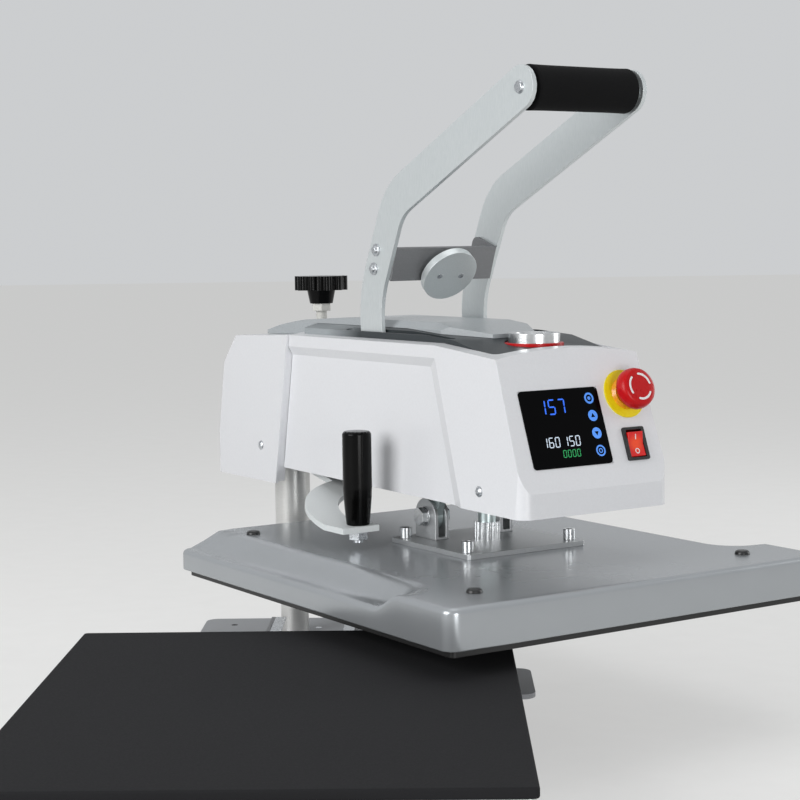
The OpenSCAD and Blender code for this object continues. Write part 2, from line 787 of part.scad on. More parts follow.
estop_bore = 11;
key_w = rocker_w - 8;
key_h = rocker_h - 6;
glass_t = 2;
glass_sink = 1;

module housing_shell() color("whitesmoke") difference() {
    arm() difference() {
        housing_form(0);
        difference() {
            housing_form(wall);
            both() flank_recess(wall);
        }
        both() flank_recess(0);
        translate([0, 0, z_side - 20]) linear_extrude(crown + 40) top_opening(0);
        both() flank_spot(boss_u, boss_z, 0) shank_hole();
    }
    panel() {
        translate([estop_x, estop_s, -panel_back]) cylinder(h = 2 * panel_back, r = estop_bore + gap);
        translate([rocker_x, rocker_s, 0]) cube([key_w + 4.6, key_h + 4.6, panel_back], center = true);
        translate([display_x, display_s, panel_back / 2 - glass_sink])
            cube([display_w + 2 * gap, display_h + 2 * gap, panel_back], center = true);
    }
}

// Side view of the rear cover, drawn in by a wall thickness: its top rises to the seam
rear_slope = 44;
rear_fall = 4;

module rear_side(t) {
    open = t > 0 ? 2 : 0;
    low = z_house - rear_drop - open;
    polygon([
        [seam(low) + open, low], [-rear_reach + t, low], [-rear_reach + 16 + t, z_side - 36],
        [-rear_reach + rear_slope + t, z_side - rear_fall - t], [seam(z_side) + open, z_side - t]
    ]);
}

module rear_form(t) intersection() {
    side_slab(-rear_hw, rear_hw) rear_side(t);
    between_flanks(t - wall);
    translate([0, 0, z_house - 2 * rear_drop]) linear_extrude(housing_h + 4 * rear_drop) {
        translate([-rear_hw, -2 * seam_high]) square([2 * rear_hw, 2 * seam_high + rear_reach - 2 * rear_r]);
        translate([0, rear_reach - t - 2 * rear_r]) rrect(2 * (rear_hw - t), 4 * rear_r, rear_r - t);
    }
}

module rear_cover() color("whitesmoke") arm() difference() {
    rear_form(0);
    rear_form(wall);
    translate([0, -screw_u, z_side - 40]) cylinder(h = 60, r = screw_d / 2 + 2);
    both() flank_spot(rear_boss_u, rear_boss_z, wall / cos(flank_lean)) shank_hole();
}

bar_slot_u = (slot_back + slot_fore) / 2;

module bar_slots() for (s = [-1, 1]) translate([s * bar_x, -bar_slot_u])
    rrect(slot_w, slot_fore - slot_back, slot_w / 2 - eps);

// Raised deck of the top panel round the bar slots: its top line, as places ahead of the column axis and
// heights above the flanks, and its section, which slopes up to the hood
deck_top = 12;
deck_edge = 8;
deck_foot = 3;
deck_slope = 1.5;
deck_hw = top_open_hw - gap;
knee_hw = hood_top_hw + 11;
deck_low = z_side - 10;
deck_line = [[top_open_back - 1, deck_top], [275, deck_top], [385, 5], [440, -7]];

module panel_deck(lift) intersection() {
    side_slab(-deck_hw - 1, deck_hw + 1) polygon([
        [deck_line[0][0], deck_low], for (p = deck_line) [p[0], z_side + p[1] + lift],
        [deck_line[3][0], deck_low]
    ]);
    rotate([90, 0, 0]) linear_extrude(housing_front) polygon([
        [-deck_hw - 1, deck_low], [deck_hw + 1, deck_low], [deck_hw + 1, z_side + deck_foot + lift],
        [deck_hw - deck_slope, z_side + deck_edge + lift], [knee_hw, z_side + deck_top + lift],
        [-knee_hw, z_side + deck_top + lift], [deck_slope - deck_hw, z_side + deck_edge + lift],
        [-deck_hw - 1, z_side + deck_foot + lift]
    ]);
}

// Crowned panel in the housing's top opening, with its deck
module top_panel() color("slategray") arm() intersection() {
    difference() {
        union() {
            under_top(panel_sink);
            panel_deck(0);
        }
        under_top(panel_sink + wall);
    }
    translate([0, 0, deck_low - wall]) linear_extrude(deck_top + 4 * wall + 10) difference() {
        top_opening(gap);
        bar_slots();
        translate([0, -magnet_u]) circle(magnet_d / 2 + ring_w + fit);
    }
}

// Raised hood over the rear cover and the panel's deck: its top line, as places ahead of the column axis and
// depths below its highest point, and half its plan from tail to nose
hood_fore = 386;
hood_back = 24;
hood_line = [[-hood_back, 20], [12, 13], [66, 6], [150, 1.5], [230, 0], [320, 2], [hood_fore, 12]];
hood_edge = [[46, -hood_back], [knee_hw, 60], [knee_hw, 335], [26, hood_fore]];

module hood_side() polygon([
    [-hood_back, deck_low], for (p = hood_line) [p[0], z_hood - p[1]], [hood_fore, deck_low]
]);

module hood_section() intersection() {
    polygon([
        [-knee_hw, deck_low], [knee_hw, deck_low], [knee_hw, z_side + deck_top], [hood_top_hw, z_hood],
        [-hood_top_hw, z_hood], [-knee_hw, z_side + deck_top]
    ]);
    translate([0, z_hood - crown_r]) circle(crown_r, $fn = 180);
}

module hood_plan() polygon([
    for (p = hood_edge) [p[0], -p[1]],
    for (i = [len(hood_edge) - 1:-1:0]) [-hood_edge[i][0], -hood_edge[i][1]]
]);

module top_hood() color("slategray") arm() difference() {
    intersection() {
        side_slab(-knee_hw, knee_hw) hood_side();
        translate([0, hood_back, 0]) rotate([90, 0, 0]) linear_extrude(hood_fore + hood_back) hood_section();
        translate([0, 0, deck_low]) linear_extrude(z_hood - deck_low) hood_plan();
    }
    panel_deck(gap);
    crown_slab(seam_high - 4, top_open_back + 2, -gap);
    crown_slab(top_open_back, hood_fore + 10, panel_sink - gap);
    side_slab(-knee_hw - 1, knee_hw + 1) polygon([
        [-hood_back - 1, deck_low - 1], [seam_high, deck_low - 1], [seam_high, z_side + gap],
        [rear_slope - rear_reach, z_side - rear_fall + gap], [-hood_back - 1, z_side - rear_fall + gap]
    ]);
    translate([0, 0, deck_low - 1]) {
        translate([0, -screw_u]) cylinder(h = z_hood - deck_low + 2, r = screw_d / 2 + 2);
        translate([0, -magnet_u]) cylinder(h = z_hood - deck_low + 2, r = magnet_d / 2 + ring_w + gap);
    }
}

module housing_screws() color("silver") arm() both() {
    flank_spot(boss_u, boss_z, 0) screw_head();
    flank_spot(rear_boss_u, rear_boss_z, wall / cos(flank_lean)) screw_head();
}

// Hole of a cover for a screw's shank
module shank_hole() translate([0, 0, -wall - 1]) cylinder(h = wall + 2, r = bolt_r + fit);

// Domed screw head on a cover, with a short shank in the cover's hole
module screw_head() {
    translate([0, 0, -wall]) cylinder(h = wall + eps, r = bolt_r);
    rotate_extrude() intersection() {
        translate([0, -4.4]) circle(7);
        square([7, 3]);
    }
}

// Control panel

module display_glass() color("black") panel() translate([display_x, display_s, -glass_sink])
    linear_extrude(glass_t) rrect(display_w, display_h, 4);

// Circuit board on four posts behind the panel
board_back = 14;

module control_board() color("darkgreen") panel() translate([display_x, display_s, -wall - board_back]) {
    linear_extrude(1.6) rrect(display_w - 6, display_h - 10, 2);
    for (x = [-1, 1], y = [-1, 1]) translate([x * (display_w / 2 - 8), y * (display_h / 2 - 10), 1.6])
        cylinder(h = board_back - 1.6, r = 3);
}

legend_t = 1.6;
neck_h = 5.5;

module estop_legend() color("gold") panel() translate([estop_x, estop_s, 0]) difference() {
    cylinder(h = legend_t, r = legend_d / 2);
    translate([0, 0, -eps]) cylinder(h = legend_t + 2 * eps, r = estop_bore + fit);
}

// Amber neck in front of the legend, threaded barrel and contact block behind it
module estop_body() color("orange") panel() translate([estop_x, estop_s, 0]) difference() {
    union() {
        translate([0, 0, -20]) cylinder(h = 20 + legend_t + eps, r = estop_bore);
        translate([0, 0, legend_t]) cylinder(h = neck_h - legend_t, r1 = 15.5, r2 = 13.5);
        translate([-12, -12, -40]) cube([24, 24, 20 + eps]);
    }
    translate([0, 0, -20]) cylinder(h = 60, r = stem_r + run);
}

stem_r = 6;
mushroom_low = neck_h + estop_travel + 1.5;
mushroom_h = 15;

module estop_stem() color("gray") panel() translate([estop_x, estop_s, 0])
    translate([0, 0, -12]) cylinder(h = 12 + mushroom_low + 8, r = stem_r);

// Domed mushroom with a blind bore for the stem
module estop_button() color("red") panel() translate([estop_x, estop_s, mushroom_low])
    rotate_extrude() difference() {
    union() {
        square([mushroom_d / 2 - 3, mushroom_h]);
        translate([0, 3]) square([mushroom_d / 2, mushroom_h - 7]);
        translate([mushroom_d / 2 - 3, 3]) circle(3);
        translate([mushroom_d / 2 - 4, mushroom_h - 4]) circle(4);
    }
    translate([-1, -1]) square([stem_r + run + 1, 9 + gap]);
    translate([-40, -1]) square([40, 60]);
}

frame_t = 2.4;

module rocker_frame() color("black") panel() translate([rocker_x, rocker_s, 0]) difference() {
    union() {
        linear_extrude(frame_t) rrect(rocker_w, rocker_h, 2);
        translate([0, 0, -24]) linear_extrude(24 + eps) square([key_w + 4, key_h + 4], center = true);
    }
    translate([0, 0, -12]) linear_extrude(40) square([key_w + 2 * gap, key_h + 2 * gap], center = true);
}

key_axis = -3;
key_round = 4;
key_hl = key_h / 2 - 1.4;

// Key with a raised end and a round underside on its axis
module rocker_key() color("red") panel() translate([rocker_x, rocker_s, key_axis]) rotate([rocker_tilt, 0, 0])
    rotate([90, 0, 90]) translate([0, 0, -key_w / 2]) linear_extrude(key_w)
        union() {
            polygon([[-key_hl, -3], [key_hl, -3], [key_hl, 6.2], [0, 4.2], [-key_hl, 6.2]]);
            circle(key_round);
        }

// Swing handle

hook_du = 27;
hook_dw = 95;
grip_back = 20;
hook_cu = swing_u - hook_du;
hook_cw = swing_w - hook_dw;
z_hook = z_top + hook_h;
hook_edge = swing_u - grip_back;
stud_r = 5;
tab_b = 26;
tab_out = 6;
tab_u = 90;
seat_w = 42;
seat_d = 36;
seat_out = 26;
rear_tab_u = hook_edge - (arm_z0 - hook_t - z_hook) / tan(hook_slope);

// Plan of the hook's curved band and of the strip that runs back under the arm
module hook_plan() {
    difference() {
        translate([-hook_cw, -hook_cu]) circle(hook_r);
        translate([-hook_cw, -hook_cu]) circle(hook_r - hook_b);
        translate([-hook_cw - 2 * hook_r, -hook_edge - 4 * hook_r]) square([4 * hook_r, 4 * hook_r]);
        translate([-arm_x + 14, -hook_cu - 2 * hook_r]) square([4 * hook_r, 4 * hook_r]);
    }
    translate([-arm_x - arm_t - tab_out, -hook_edge + tab_u])
        square([tab_b, (hook_edge - rear_tab_u) / cos(hook_slope) - tab_u + hook_t]);
}

module hook_bracket() color("silver") arm() difference() {
    union() {
        translate([0, -hook_edge, z_hook]) rotate([hook_slope, 0, 0]) linear_extrude(hook_t)
            translate([0, hook_edge]) hook_plan();
        translate([-swing_w - seat_out, -hook_edge - seat_d + 2, z_hook]) cube([seat_w, seat_d, hook_t]);
        translate([-arm_x - arm_t - tab_out, -rear_tab_u - 2, arm_z0 - hook_t]) cube([tab_b, tab_b, hook_t]);
    }
    translate([-swing_w, -swing_u, z_hook - eps]) cylinder(h = hook_t + 2 * eps, r = stud_r + fit);
    translate([-2 * hook_r, -hook_edge, arm_z0]) cube([2 * hook_r, 2 * hook_r, hook_r]);
}

module swing_grip() color([0.05, 0.05, 0.05]) arm() translate([-swing_w, -swing_u, z_hook + hook_t])
    rotate_extrude() difference() {
        polygon([
            [0, 0], [swing_d / 2 - 3, 0], [swing_d / 2 - 2.2, grip_h * 0.08], [swing_d / 2 - 0.4, grip_h * 0.3],
            [swing_d / 2, grip_h * 0.4], [swing_d / 2, grip_h - 3], [swing_d / 2 - 2, grip_h - 0.6], [0, grip_h]
        ]);
        translate([0, -1]) square([stud_r + fit, grip_h * 0.6 + 1 + gap]);
    }

module grip_stud() color("silver") arm() translate([-swing_w, -swing_u, z_hook]) {
    translate([0, 0, -12]) cylinder(h = 12 + hook_t + grip_h * 0.6, r = stud_r);
    translate([0, 0, -8.5]) hex(18, 8.5);
}

// Handle yoke

// Centre line of one bar: straight runs joined by bends, each a parabola between its two tangents
bend_steps = 8;
bar_knots = [[grip_u, grip_z], [bend_u, bend_z], [knee_u, knee_z], [elbow_u, elbow_z], shaft_spot];
bend_runs = [22, 22, 26];

function toward(a, b, d) = a + (b - a) * d / norm(b - a);
function parabola(a, b, c, s) = (1 - s) * (1 - s) * a + 2 * s * (1 - s) * b + s * s * c;
function bend(k, run) = [for (i = [0:bend_steps]) parabola(
    toward(bar_knots[k], bar_knots[k - 1], run), bar_knots[k],
    toward(bar_knots[k], bar_knots[k + 1], run), i / bend_steps
)];
bar_line = concat([bar_knots[0]], [for (k = [1:3]) each bend(k, bend_runs[k - 1])], [bar_knots[4]]);

// Direction of the line at one of its points, then the two edges and the round end that go with it
last_point = len(bar_line) - 1;
function heading(i) = let (d = bar_line[min(i + 1, last_point)] - bar_line[max(i - 1, 0)]) atan2(d[1], d[0]);
function edge(i, h) = bar_line[i] + h * [-sin(heading(i)), cos(heading(i))];
bar_outline = concat(
    [for (i = [0:last_point]) edge(i, bar_b / 2)],
    [for (i = [last_point:-1:0]) edge(i, -bar_b / 2)],
    [for (a = [80:-20:-80]) bar_knots[0] + bar_b / 2 * [cos(heading(0) + 180 + a), sin(heading(0) + 180 + a)]]
);

// Side view of one bar with its boss on the shaft and its holes
module bar_side() difference() {
    union() {
        polygon(bar_outline);
        spot(shaft_spot, hub_r);
    }
    spot(shaft_spot, shaft_d / 2 + fit);
    for (p = bar_bolts) spot(p, bar_bolt_r + fit);
    spot([grip_u, grip_z], bar_bolt_r + fit);
}

bar_bolt_r = 3;
high_bolt = [12, 44];
low_bolt = [7, 25];
bar_bolts = [for (b = [high_bolt, low_bolt]) [knee_u, knee_z] + b];

module left_bar() color("silver") arm() side_slab(-bar_x - bar_t / 2, -bar_x + bar_t / 2) bar_side();
module right_bar() color("silver") arm() side_slab(bar_x - bar_t / 2, bar_x + bar_t / 2) bar_side();

// Crankshaft: a middle tube, then on each side a cheek, the crank pin and an outer cheek on a stub shaft
cheek_x0 = link_w - link_t / 2 - 1;
cheek_x1 = link_w + link_t / 2 + 1;
cheek_t = 8;
cheek_out = arm_x - bush_lip - gap;

module pivot_shaft() color("silver") arm() both()
    cross_rod(piv_u, z_piv, cheek_x1, bar_x + bar_t / 2 + 2, shaft_d / 2);

module cheek_side() {
    strip(shaft_spot, [pin_u, pin_z], pin_d + 8);
    spot(shaft_spot, shaft_d / 2 + 5);
    spot([pin_u, pin_z], pin_d / 2 + 5.5);
}

module crank_hub() color("gray") arm() {
    cross_rod(piv_u, z_piv, -cheek_x0, cheek_x0, shaft_d / 2);
    both() {
        side_slab(cheek_x0 - cheek_t, cheek_x0) cheek_side();
        cross_rod(pin_u, pin_z, cheek_x0 - eps, cheek_x1 + eps, pin_d / 2);
        side_slab(cheek_x1, cheek_out) difference() {
            cheek_side();
            spot(shaft_spot, shaft_d / 2 + fit);
        }
    }
}

// Channel between the bars: its front face leans with the handle up, its two flanges run back along the bars
plate_t = 4;
plate_d = 35;
plate_u = 267;
plate_rise = 228;
plate_z = z_house + plate_rise;
plate_lean = 70;
plate_flange = 37;
flange_r = 8;
bar_in = bar_x - bar_t / 2;

module plate_frame() arm() translate([0, -plate_u, plate_z]) rotate([-plate_lean, 0, 0]) children();

module plate_flange(x) translate([x, 0, 0]) rotate([90, 0, 90]) linear_extrude(plate_t) {
    translate([-plate_d / 2, 0]) square([plate_d, plate_flange / 2]);
    translate([0, plate_flange / 2]) rrect(plate_d, plate_flange, flange_r);
}

module cross_plate() color("silver") difference() {
    plate_frame() difference() {
        union() {
            translate([-bar_in, -plate_d / 2, 0]) cube([2 * bar_in, plate_d, plate_t]);
            plate_flange(-bar_in);
            plate_flange(bar_in - plate_t);
        }
        translate([0, stem_y, -eps]) cylinder(h = plate_t + 2 * eps, r = stem_bolt_r + fit);
    }
    arm() for (p = bar_bolts) cross_rod(p[0], p[1], -bar_in - 1, bar_in + 1, bar_bolt_r + fit);
}

// Where the middle of the disc's back is with the handle up, seen from the plate's front face
disc_du = magnet_u - piv_u;
disc_dz = z_magnet + gap + disc_t - z_piv;
disc_back = [
    piv_u + disc_du * cos(tilt) - disc_dz * sin(tilt) - plate_u,
    z_piv + disc_du * sin(tilt) + disc_dz * cos(tilt) - plate_z
];
stem_y = -disc_back[0] * cos(plate_lean) - disc_back[1] * sin(plate_lean);
stem_len = disc_back[0] * sin(plate_lean) - disc_back[1] * cos(plate_lean) + disc_t / 2;
stem_bolt_r = 5;
stem_hex = 16;
stem_hex_h = 6;
spacer_r = 8;

// Disc that lies flat on the magnet when pressed, on a spacer and a bolt through the leaning cross plate
module armature_disc() color("silver") {
    pressed_yoke() translate([0, -magnet_u, z_magnet + gap]) cylinder(h = disc_t, r = disc_d / 2);
    plate_frame() translate([0, stem_y, 0]) {
        translate([0, 0, -stem_len]) cylinder(h = stem_len, r = spacer_r);
        translate([0, 0, -eps]) cylinder(h = plate_t + stem_hex_h + 2, r = stem_bolt_r);
        translate([0, 0, plate_t]) hex(stem_hex, stem_hex_h);
    }
}

module grip_tube() color("silver") arm() difference() {
    cross_rod(grip_u, grip_z, -bar_in, bar_in, tube_d / 2);
    cross_rod(grip_u, grip_z, -bar_in - 1, bar_in + 1, bar_bolt_r + fit);
}

foam_end = 3;

module foam_grip() color([0.08, 0.08, 0.08]) arm()
    translate([-bar_in + foam_end, -grip_u, grip_z]) rotate([0, 90, 0]) {
    l = 2 * (bar_in - foam_end);
    e = 6;
    rotate_extrude() difference() {
        polygon([
            [0, 0], [grip_d / 2 - e, 0], [grip_d / 2 - 1.6, 1.6], [grip_d / 2, e], [grip_d / 2, l - e],
            [grip_d / 2 - 1.6, l - 1.6], [grip_d / 2 - e, l], [0, l]
        ]);
        translate([-1, -1]) square([tube_d / 2 + fit + 1, l + 2]);
    }
}

module yoke_bolts() color("silver") arm() both() {
    for (p = bar_bolts) {
        cross_rod(p[0], p[1], bar_in - plate_t, bar_x + bar_t / 2 + eps, bar_bolt_r);
        cross_rod(p[0], p[1], bar_x + bar_t / 2, bar_x + bar_t / 2 + 1.2, 6.5);
        translate([bar_x + bar_t / 2 + 1, -p[0], p[1]]) rotate([0, 90, 0]) cylinder(h = 3.2, r1 = 5, r2 = 3.2);
    }
    cross_rod(grip_u, grip_z, bar_in - 20, bar_x + bar_t / 2 + eps, bar_bolt_r);
    translate([bar_x + bar_t / 2, -grip_u, grip_z]) rotate([0, 90, 0]) cylinder(h = 2.5, r1 = 6.5, r2 = 5);
}

// Upper platen

platen_y = -platen_u;
cavity_z = z_cover + shoulder_h - cover_wall;

// Ramp of a shoulder: half a cosine wave from the level strip up, a little past the cover's top
ramp_steps = 12;
ramp_rise = cover_h - shoulder_h + 0.8;
ramp_line = concat(
    [[-2 * cover_r, z_cover + shoulder_h], [shoulder_flat, z_cover + shoulder_h]],
    [for (i = [1:ramp_steps]) [
        shoulder_flat + shoulder_ramp * i / ramp_steps,
        z_cover + shoulder_h + ramp_rise * (1 - cos(180 * i / ramp_steps)) / 2
    ]],
    [[shoulder_flat + shoulder_ramp, z_top + 5], [-2 * cover_r, z_top + 5]]
);

// Space cut away over one shoulder: the ramp carried along the side, closed by the same ramp at its front end
module shoulder_cut() intersection() {
    translate([-cover_w / 2, platen_y + cover_d, 0]) rotate([90, 0, 0])
        linear_extrude(2 * cover_d) polygon(ramp_line);
    translate([-cover_w, platen_y - cover_d / 2 + shoulder_end - shoulder_flat - shoulder_ramp, 0])
        rotate([90, 0, 90])
        linear_extrude(cover_w) polygon([
            for (p = ramp_line) [p[0] < 0 ? 2 * cover_d : shoulder_flat + shoulder_ramp - p[0], p[1]]
        ]);
}

module platen_cover() color("silver") arm() difference() {
    translate([0, platen_y, z_cover]) linear_extrude(cover_h) rrect(cover_w, cover_d, cover_r);
    translate([0, platen_y, z_cover - eps]) linear_extrude(cavity_z - z_cover + eps)
        rrect(cover_w - 2 * heat_inset, cover_d - 2 * heat_inset, cover_r - heat_inset);
    translate([0, platen_y, cavity_z - eps]) linear_extrude(z_top - cover_wall - cavity_z + eps)
        rrect(cover_w - 2 * (shoulder_flat + shoulder_ramp + cover_wall), cover_d - 2 * heat_inset,
            cover_r - heat_inset);
    both() shoulder_cut();
    for (x = [-1, 1], y = [-1, 1]) {
        translate([x * plug_w, platen_y + y * plug_u, z_top - cover_wall - 1])
            cylinder(h = 20, r = plug_d / 2 - 2 + fit);
        translate([x * cap_w, platen_y + y * cap_u, z_top - cover_wall - 1]) cylinder(h = 20, r = bolt_r + gap);
    }
}

module insulation_board() color("beige") arm() translate([0, platen_y, z_heat + heat_t])
    linear_extrude(cavity_z - z_heat - heat_t)
    rrect(cover_w - 2 * heat_inset - 6, cover_d - 2 * heat_inset - 6, cover_r - heat_inset);

module heating_plate() color([0.1, 0.1, 0.1]) arm() translate([0, platen_y, z_heat]) linear_extrude(heat_t)
    rrect(cover_w - 2 * heat_inset - 2 * gap, cover_d - 2 * heat_inset - 2 * gap, cover_r - heat_inset - gap);

module mount_plate() color("silver") arm() translate([0, platen_y, z_top])
    linear_extrude(mount_t) difference() {
    rrect(mount_w, mount_d, 3);
    for (x = [-1, 1], y = [-1, 1]) translate([x * cap_w, y * cap_u]) circle(bolt_r + gap);
}

ear_x0 = link_w - link_t / 2 - ear_t - gap;
ear_x1 = link_w + link_t / 2 + ear_t + gap;
ear_base = 3;

// Folded clevis on each side of the mount plate
module clevis_brackets() color("lightgray") arm() both() difference() {
    side_slab(ear_x0, ear_x1) {
        spot([clevis_u, z_clevis], ear_b / 2);
        translate([clevis_u - ear_b / 2, z_mount]) square([ear_b, clevis_h]);
    }
    translate([ear_x0 + ear_t, -clevis_u - ear_b, z_mount + ear_base]) cube([link_t + 2 * gap, 2 * ear_b, 80]);
    cross_rod(clevis_u, z_clevis, ear_x0 - 1, ear_x1 + 1, clevis_d / 2 + fit);
}

module clevis_bolts() color("silver") arm() both() {
    cross_rod(clevis_u, z_clevis, ear_x0 - 8, ear_x1, clevis_d / 2);
    cross_rod(clevis_u, z_clevis, ear_x1, ear_x1 + 2, clevis_d);
    translate([ear_x1 + 2 - eps, -clevis_u, z_clevis]) rotate([0, 90, 0]) hex(16, 6.5);
    translate([ear_x0 - 8, -clevis_u, z_clevis]) rotate([0, 90, 0]) hex(16, 8 - gap);
}

module mount_bolts() color("silver") arm() for (x = [-1, 1], y = [-1, 1])
    translate([x * cap_w, platen_y + y * cap_u, 0]) difference() {
        union() {
            translate([0, 0, z_top - cover_wall]) cylinder(h = cover_wall + mount_t + eps, r = bolt_r);
            translate([0, 0, z_mount]) cylinder(h = cap_h, r = cap_d / 2);
        }
        translate([0, 0, z_mount + cap_h - 5]) cylinder(h = 6, r = 3.4, $fn = 6);
    }

nut_h = 18;
nut_r = 11;

module guide_spindle() color("silver") arm() translate([0, platen_y, z_mount])
    cylinder(h = spindle_h, r = spindle_d / 2);

// Ribbed nut at the spindle's foot
module spindle_nut() color("silver") arm() translate([0, platen_y, z_mount]) difference() {
    union() {
        cylinder(h = nut_h, r = nut_r + 0.6);
        for (a = [0:30:330]) rotate(a) translate([nut_r, 0, 0]) cylinder(h = nut_h, r = 2);
    }
    translate([0, 0, -eps]) cylinder(h = nut_h + 2 * eps, r = spindle_d / 2 + fit);
}

module cover_plugs() color("black") arm() for (x = [-1, 1], y = [-1, 1])
    translate([x * plug_w, platen_y + y * plug_u, z_top]) {
        translate([0, 0, -cover_wall]) cylinder(h = cover_wall + eps, r = plug_d / 2 - 2);
        rotate_extrude() polygon([
            [0, 0], [plug_d / 2, 0], [plug_d / 2 - 0.8, 2.6], [plug_d / 2 - 2.5, 3.6], [0, 3.6]
        ]);
    }

// Toggle link: close on the clevis bolt, wide at the crank pin
module toggle_links() color("gray") arm() for (s = [-1, 1])
    side_slab(s * link_w - link_t / 2, s * link_w + link_t / 2) difference() {
        union() {
            strip([clevis_u, z_clevis], [pin_u, pin_z], link_b);
            spot([clevis_u, z_clevis], link_b / 2 + 2);
            spot([pin_u, pin_z], eye_r + eye_wall);
        }
        spot([clevis_u, z_clevis], clevis_d / 2 + run);
        spot([pin_u, pin_z], eye_r);
    }

// Pressure adjuster

z_lock = z_hood + 1;
lock_h = 8.5;
knob_hub = 15;
z_knob = z_lock + lock_h + knob_hub;
screw_low = arm_z1 - screw_hole + 2;

module pressure_screw() color("silver") arm() translate([0, -screw_u, 0]) {
    translate([0, 0, screw_low]) cylinder(h = z_lock + lock_h + 4 - screw_low, r = screw_d / 2);
    translate([0, 0, z_lock]) hex(20, lock_h);
}

// Star knob: a ring of round lobes on a stepped hub
module pressure_knob() color("black") arm() translate([0, -screw_u, 0]) difference() {
    union() {
        translate([0, 0, z_lock + lock_h]) cylinder(h = knob_hub + eps, r1 = 13, r2 = 16);
        translate([0, 0, z_knob]) cylinder(h = knob_t, r = knob_d / 2 - 4);
        for (i = [0:knob_lobes - 1]) rotate(i * 360 / knob_lobes) translate([knob_d / 2 - 5, 0, z_knob])
            cylinder(h = knob_t, r = 5);
    }
    translate([0, 0, z_lock + lock_h - eps]) cylinder(h = 4 + gap, r = screw_d / 2 + fit);
    for (i = [0:knob_lobes - 1]) rotate((i + 0.5) * 360 / knob_lobes) translate([knob_d / 2, 0, z_knob - eps])
        cylinder(h = knob_t + 2 * eps, r = 4.5);
}

base_plate();
base_feet();
slide_brackets();
outer_slides();
column_post();
column_bolts();
stop_collar();
inner_slides();
drawer_carriage();
lower_platen();
silicone_pad();
drawer_pull();
swing_sleeve();
swing_block();
arm_plates();
arm_floor();
arm_ties();
pivot_bushes();
spindle_bush();
electromagnet();
magnet_ring();
housing_shell();
rear_cover();
top_panel();
top_hood();
display_glass();
control_board();
estop_legend();
estop_body();
estop_stem();
estop_button();
rocker_frame();
rocker_key();
hook_bracket();
swing_grip();
grip_stud();
housing_screws();
left_bar();
right_bar();
pivot_shaft();
crank_hub();
cross_plate();
armature_disc();
grip_tube();
foam_grip();
yoke_bolts();
platen_cover();
insulation_board();
heating_plate();
mount_plate();
clevis_brackets();
clevis_bolts();
mount_bolts();
guide_spindle();
spindle_nut();
cover_plugs();
toggle_links();
pressure_knob();
pressure_screw();
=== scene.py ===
"""Looks of the flat heat press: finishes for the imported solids, the soft and smooth pieces, light and camera."""
import json
import math

import bpy
import numpy as np
from mathutils import Matrix, Vector


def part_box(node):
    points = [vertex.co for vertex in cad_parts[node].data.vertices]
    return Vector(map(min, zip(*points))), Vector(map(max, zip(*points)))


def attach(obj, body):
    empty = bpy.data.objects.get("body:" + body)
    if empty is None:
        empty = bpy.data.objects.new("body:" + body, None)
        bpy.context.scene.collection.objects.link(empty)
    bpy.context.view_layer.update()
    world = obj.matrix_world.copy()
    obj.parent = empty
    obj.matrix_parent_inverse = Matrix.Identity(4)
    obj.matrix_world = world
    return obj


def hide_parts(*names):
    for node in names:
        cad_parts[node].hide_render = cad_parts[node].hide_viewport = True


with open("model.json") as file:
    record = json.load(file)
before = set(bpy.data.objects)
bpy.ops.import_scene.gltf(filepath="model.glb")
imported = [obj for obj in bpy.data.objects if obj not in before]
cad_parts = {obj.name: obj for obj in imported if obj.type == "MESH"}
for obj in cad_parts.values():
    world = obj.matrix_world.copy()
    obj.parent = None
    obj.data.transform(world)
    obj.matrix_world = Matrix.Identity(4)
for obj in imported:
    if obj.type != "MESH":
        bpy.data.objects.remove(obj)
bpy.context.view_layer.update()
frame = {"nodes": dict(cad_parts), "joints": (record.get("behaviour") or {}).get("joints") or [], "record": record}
nodes = frame["nodes"]

# The press's own sizes, in metres, as the part's source has them
MM = 0.001
# Rake of the control panel, travel of the handle, and how far the column stands off the platens' centre line
RAKE, TILT = math.radians(20), math.radians(52)
COLUMN_OFFSET = 31 * MM
# Platen cover: plan and corner, rim and top, shoulders, and its middle ahead of the column
COVER_W, COVER_D, COVER_R = 440 * MM, 500 * MM, 13 * MM
COVER_LOW, COVER_TOP = 133.5 * MM, 170 * MM
SHOULDER_H, SHOULDER_FLAT, SHOULDER_RAMP, SHOULDER_END = 21 * MM, 10 * MM, 42 * MM, 130 * MM
PLATEN_U = 337 * MM
# Housing: floor and height, half widths at foot and top, and its seam with the rear cover at foot and top
HOUSE_Z, HOUSE_H, HOUSE_HW, HOUSE_TOP_HW = 222 * MM, 152 * MM, 88 * MM, 83 * MM
SEAM_LOW, SEAM_HIGH = 70 * MM, 90 * MM
# Foot of the control panel, and on it the display, the stop button and the rocker key
PANEL_U, PANEL_Z = 512 * MM, 245 * MM
GLASS_X, GLASS_UP, GLASS_OUT = -21.5 * MM, 59 * MM, 1 * MM
STOP_X, STOP_UP, STOP_LOW, STOP_R = 56 * MM, 87 * MM, 11 * MM, 19.75 * MM
KEY_X, KEY_UP, KEY_AXIS, KEY_TILT = 55.5 * MM, 38 * MM, -3 * MM, math.radians(7)
# Handle: its shaft, its grip at rest, and the magnet's face that it comes down on
SHAFT_U, SHAFT_Z = 294 * MM, 269 * MM
GRIP_U, GRIP_Z = 485 * MM, 610 * MM
MAGNET_U, MAGNET_Z = 417 * MM, 385 * MM

# Column axis, swing of the head and size of the pad, from the frame
joints = {j["name"]: j for j in frame["joints"]}
column_x, column_y, _ = joints["head_swing"]["pos_m"]
across = joints["handle_tilt"]["axis"]
SWING = math.atan2(across[1], across[0])
pad_low, pad_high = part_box("silicone_pad")


# Places

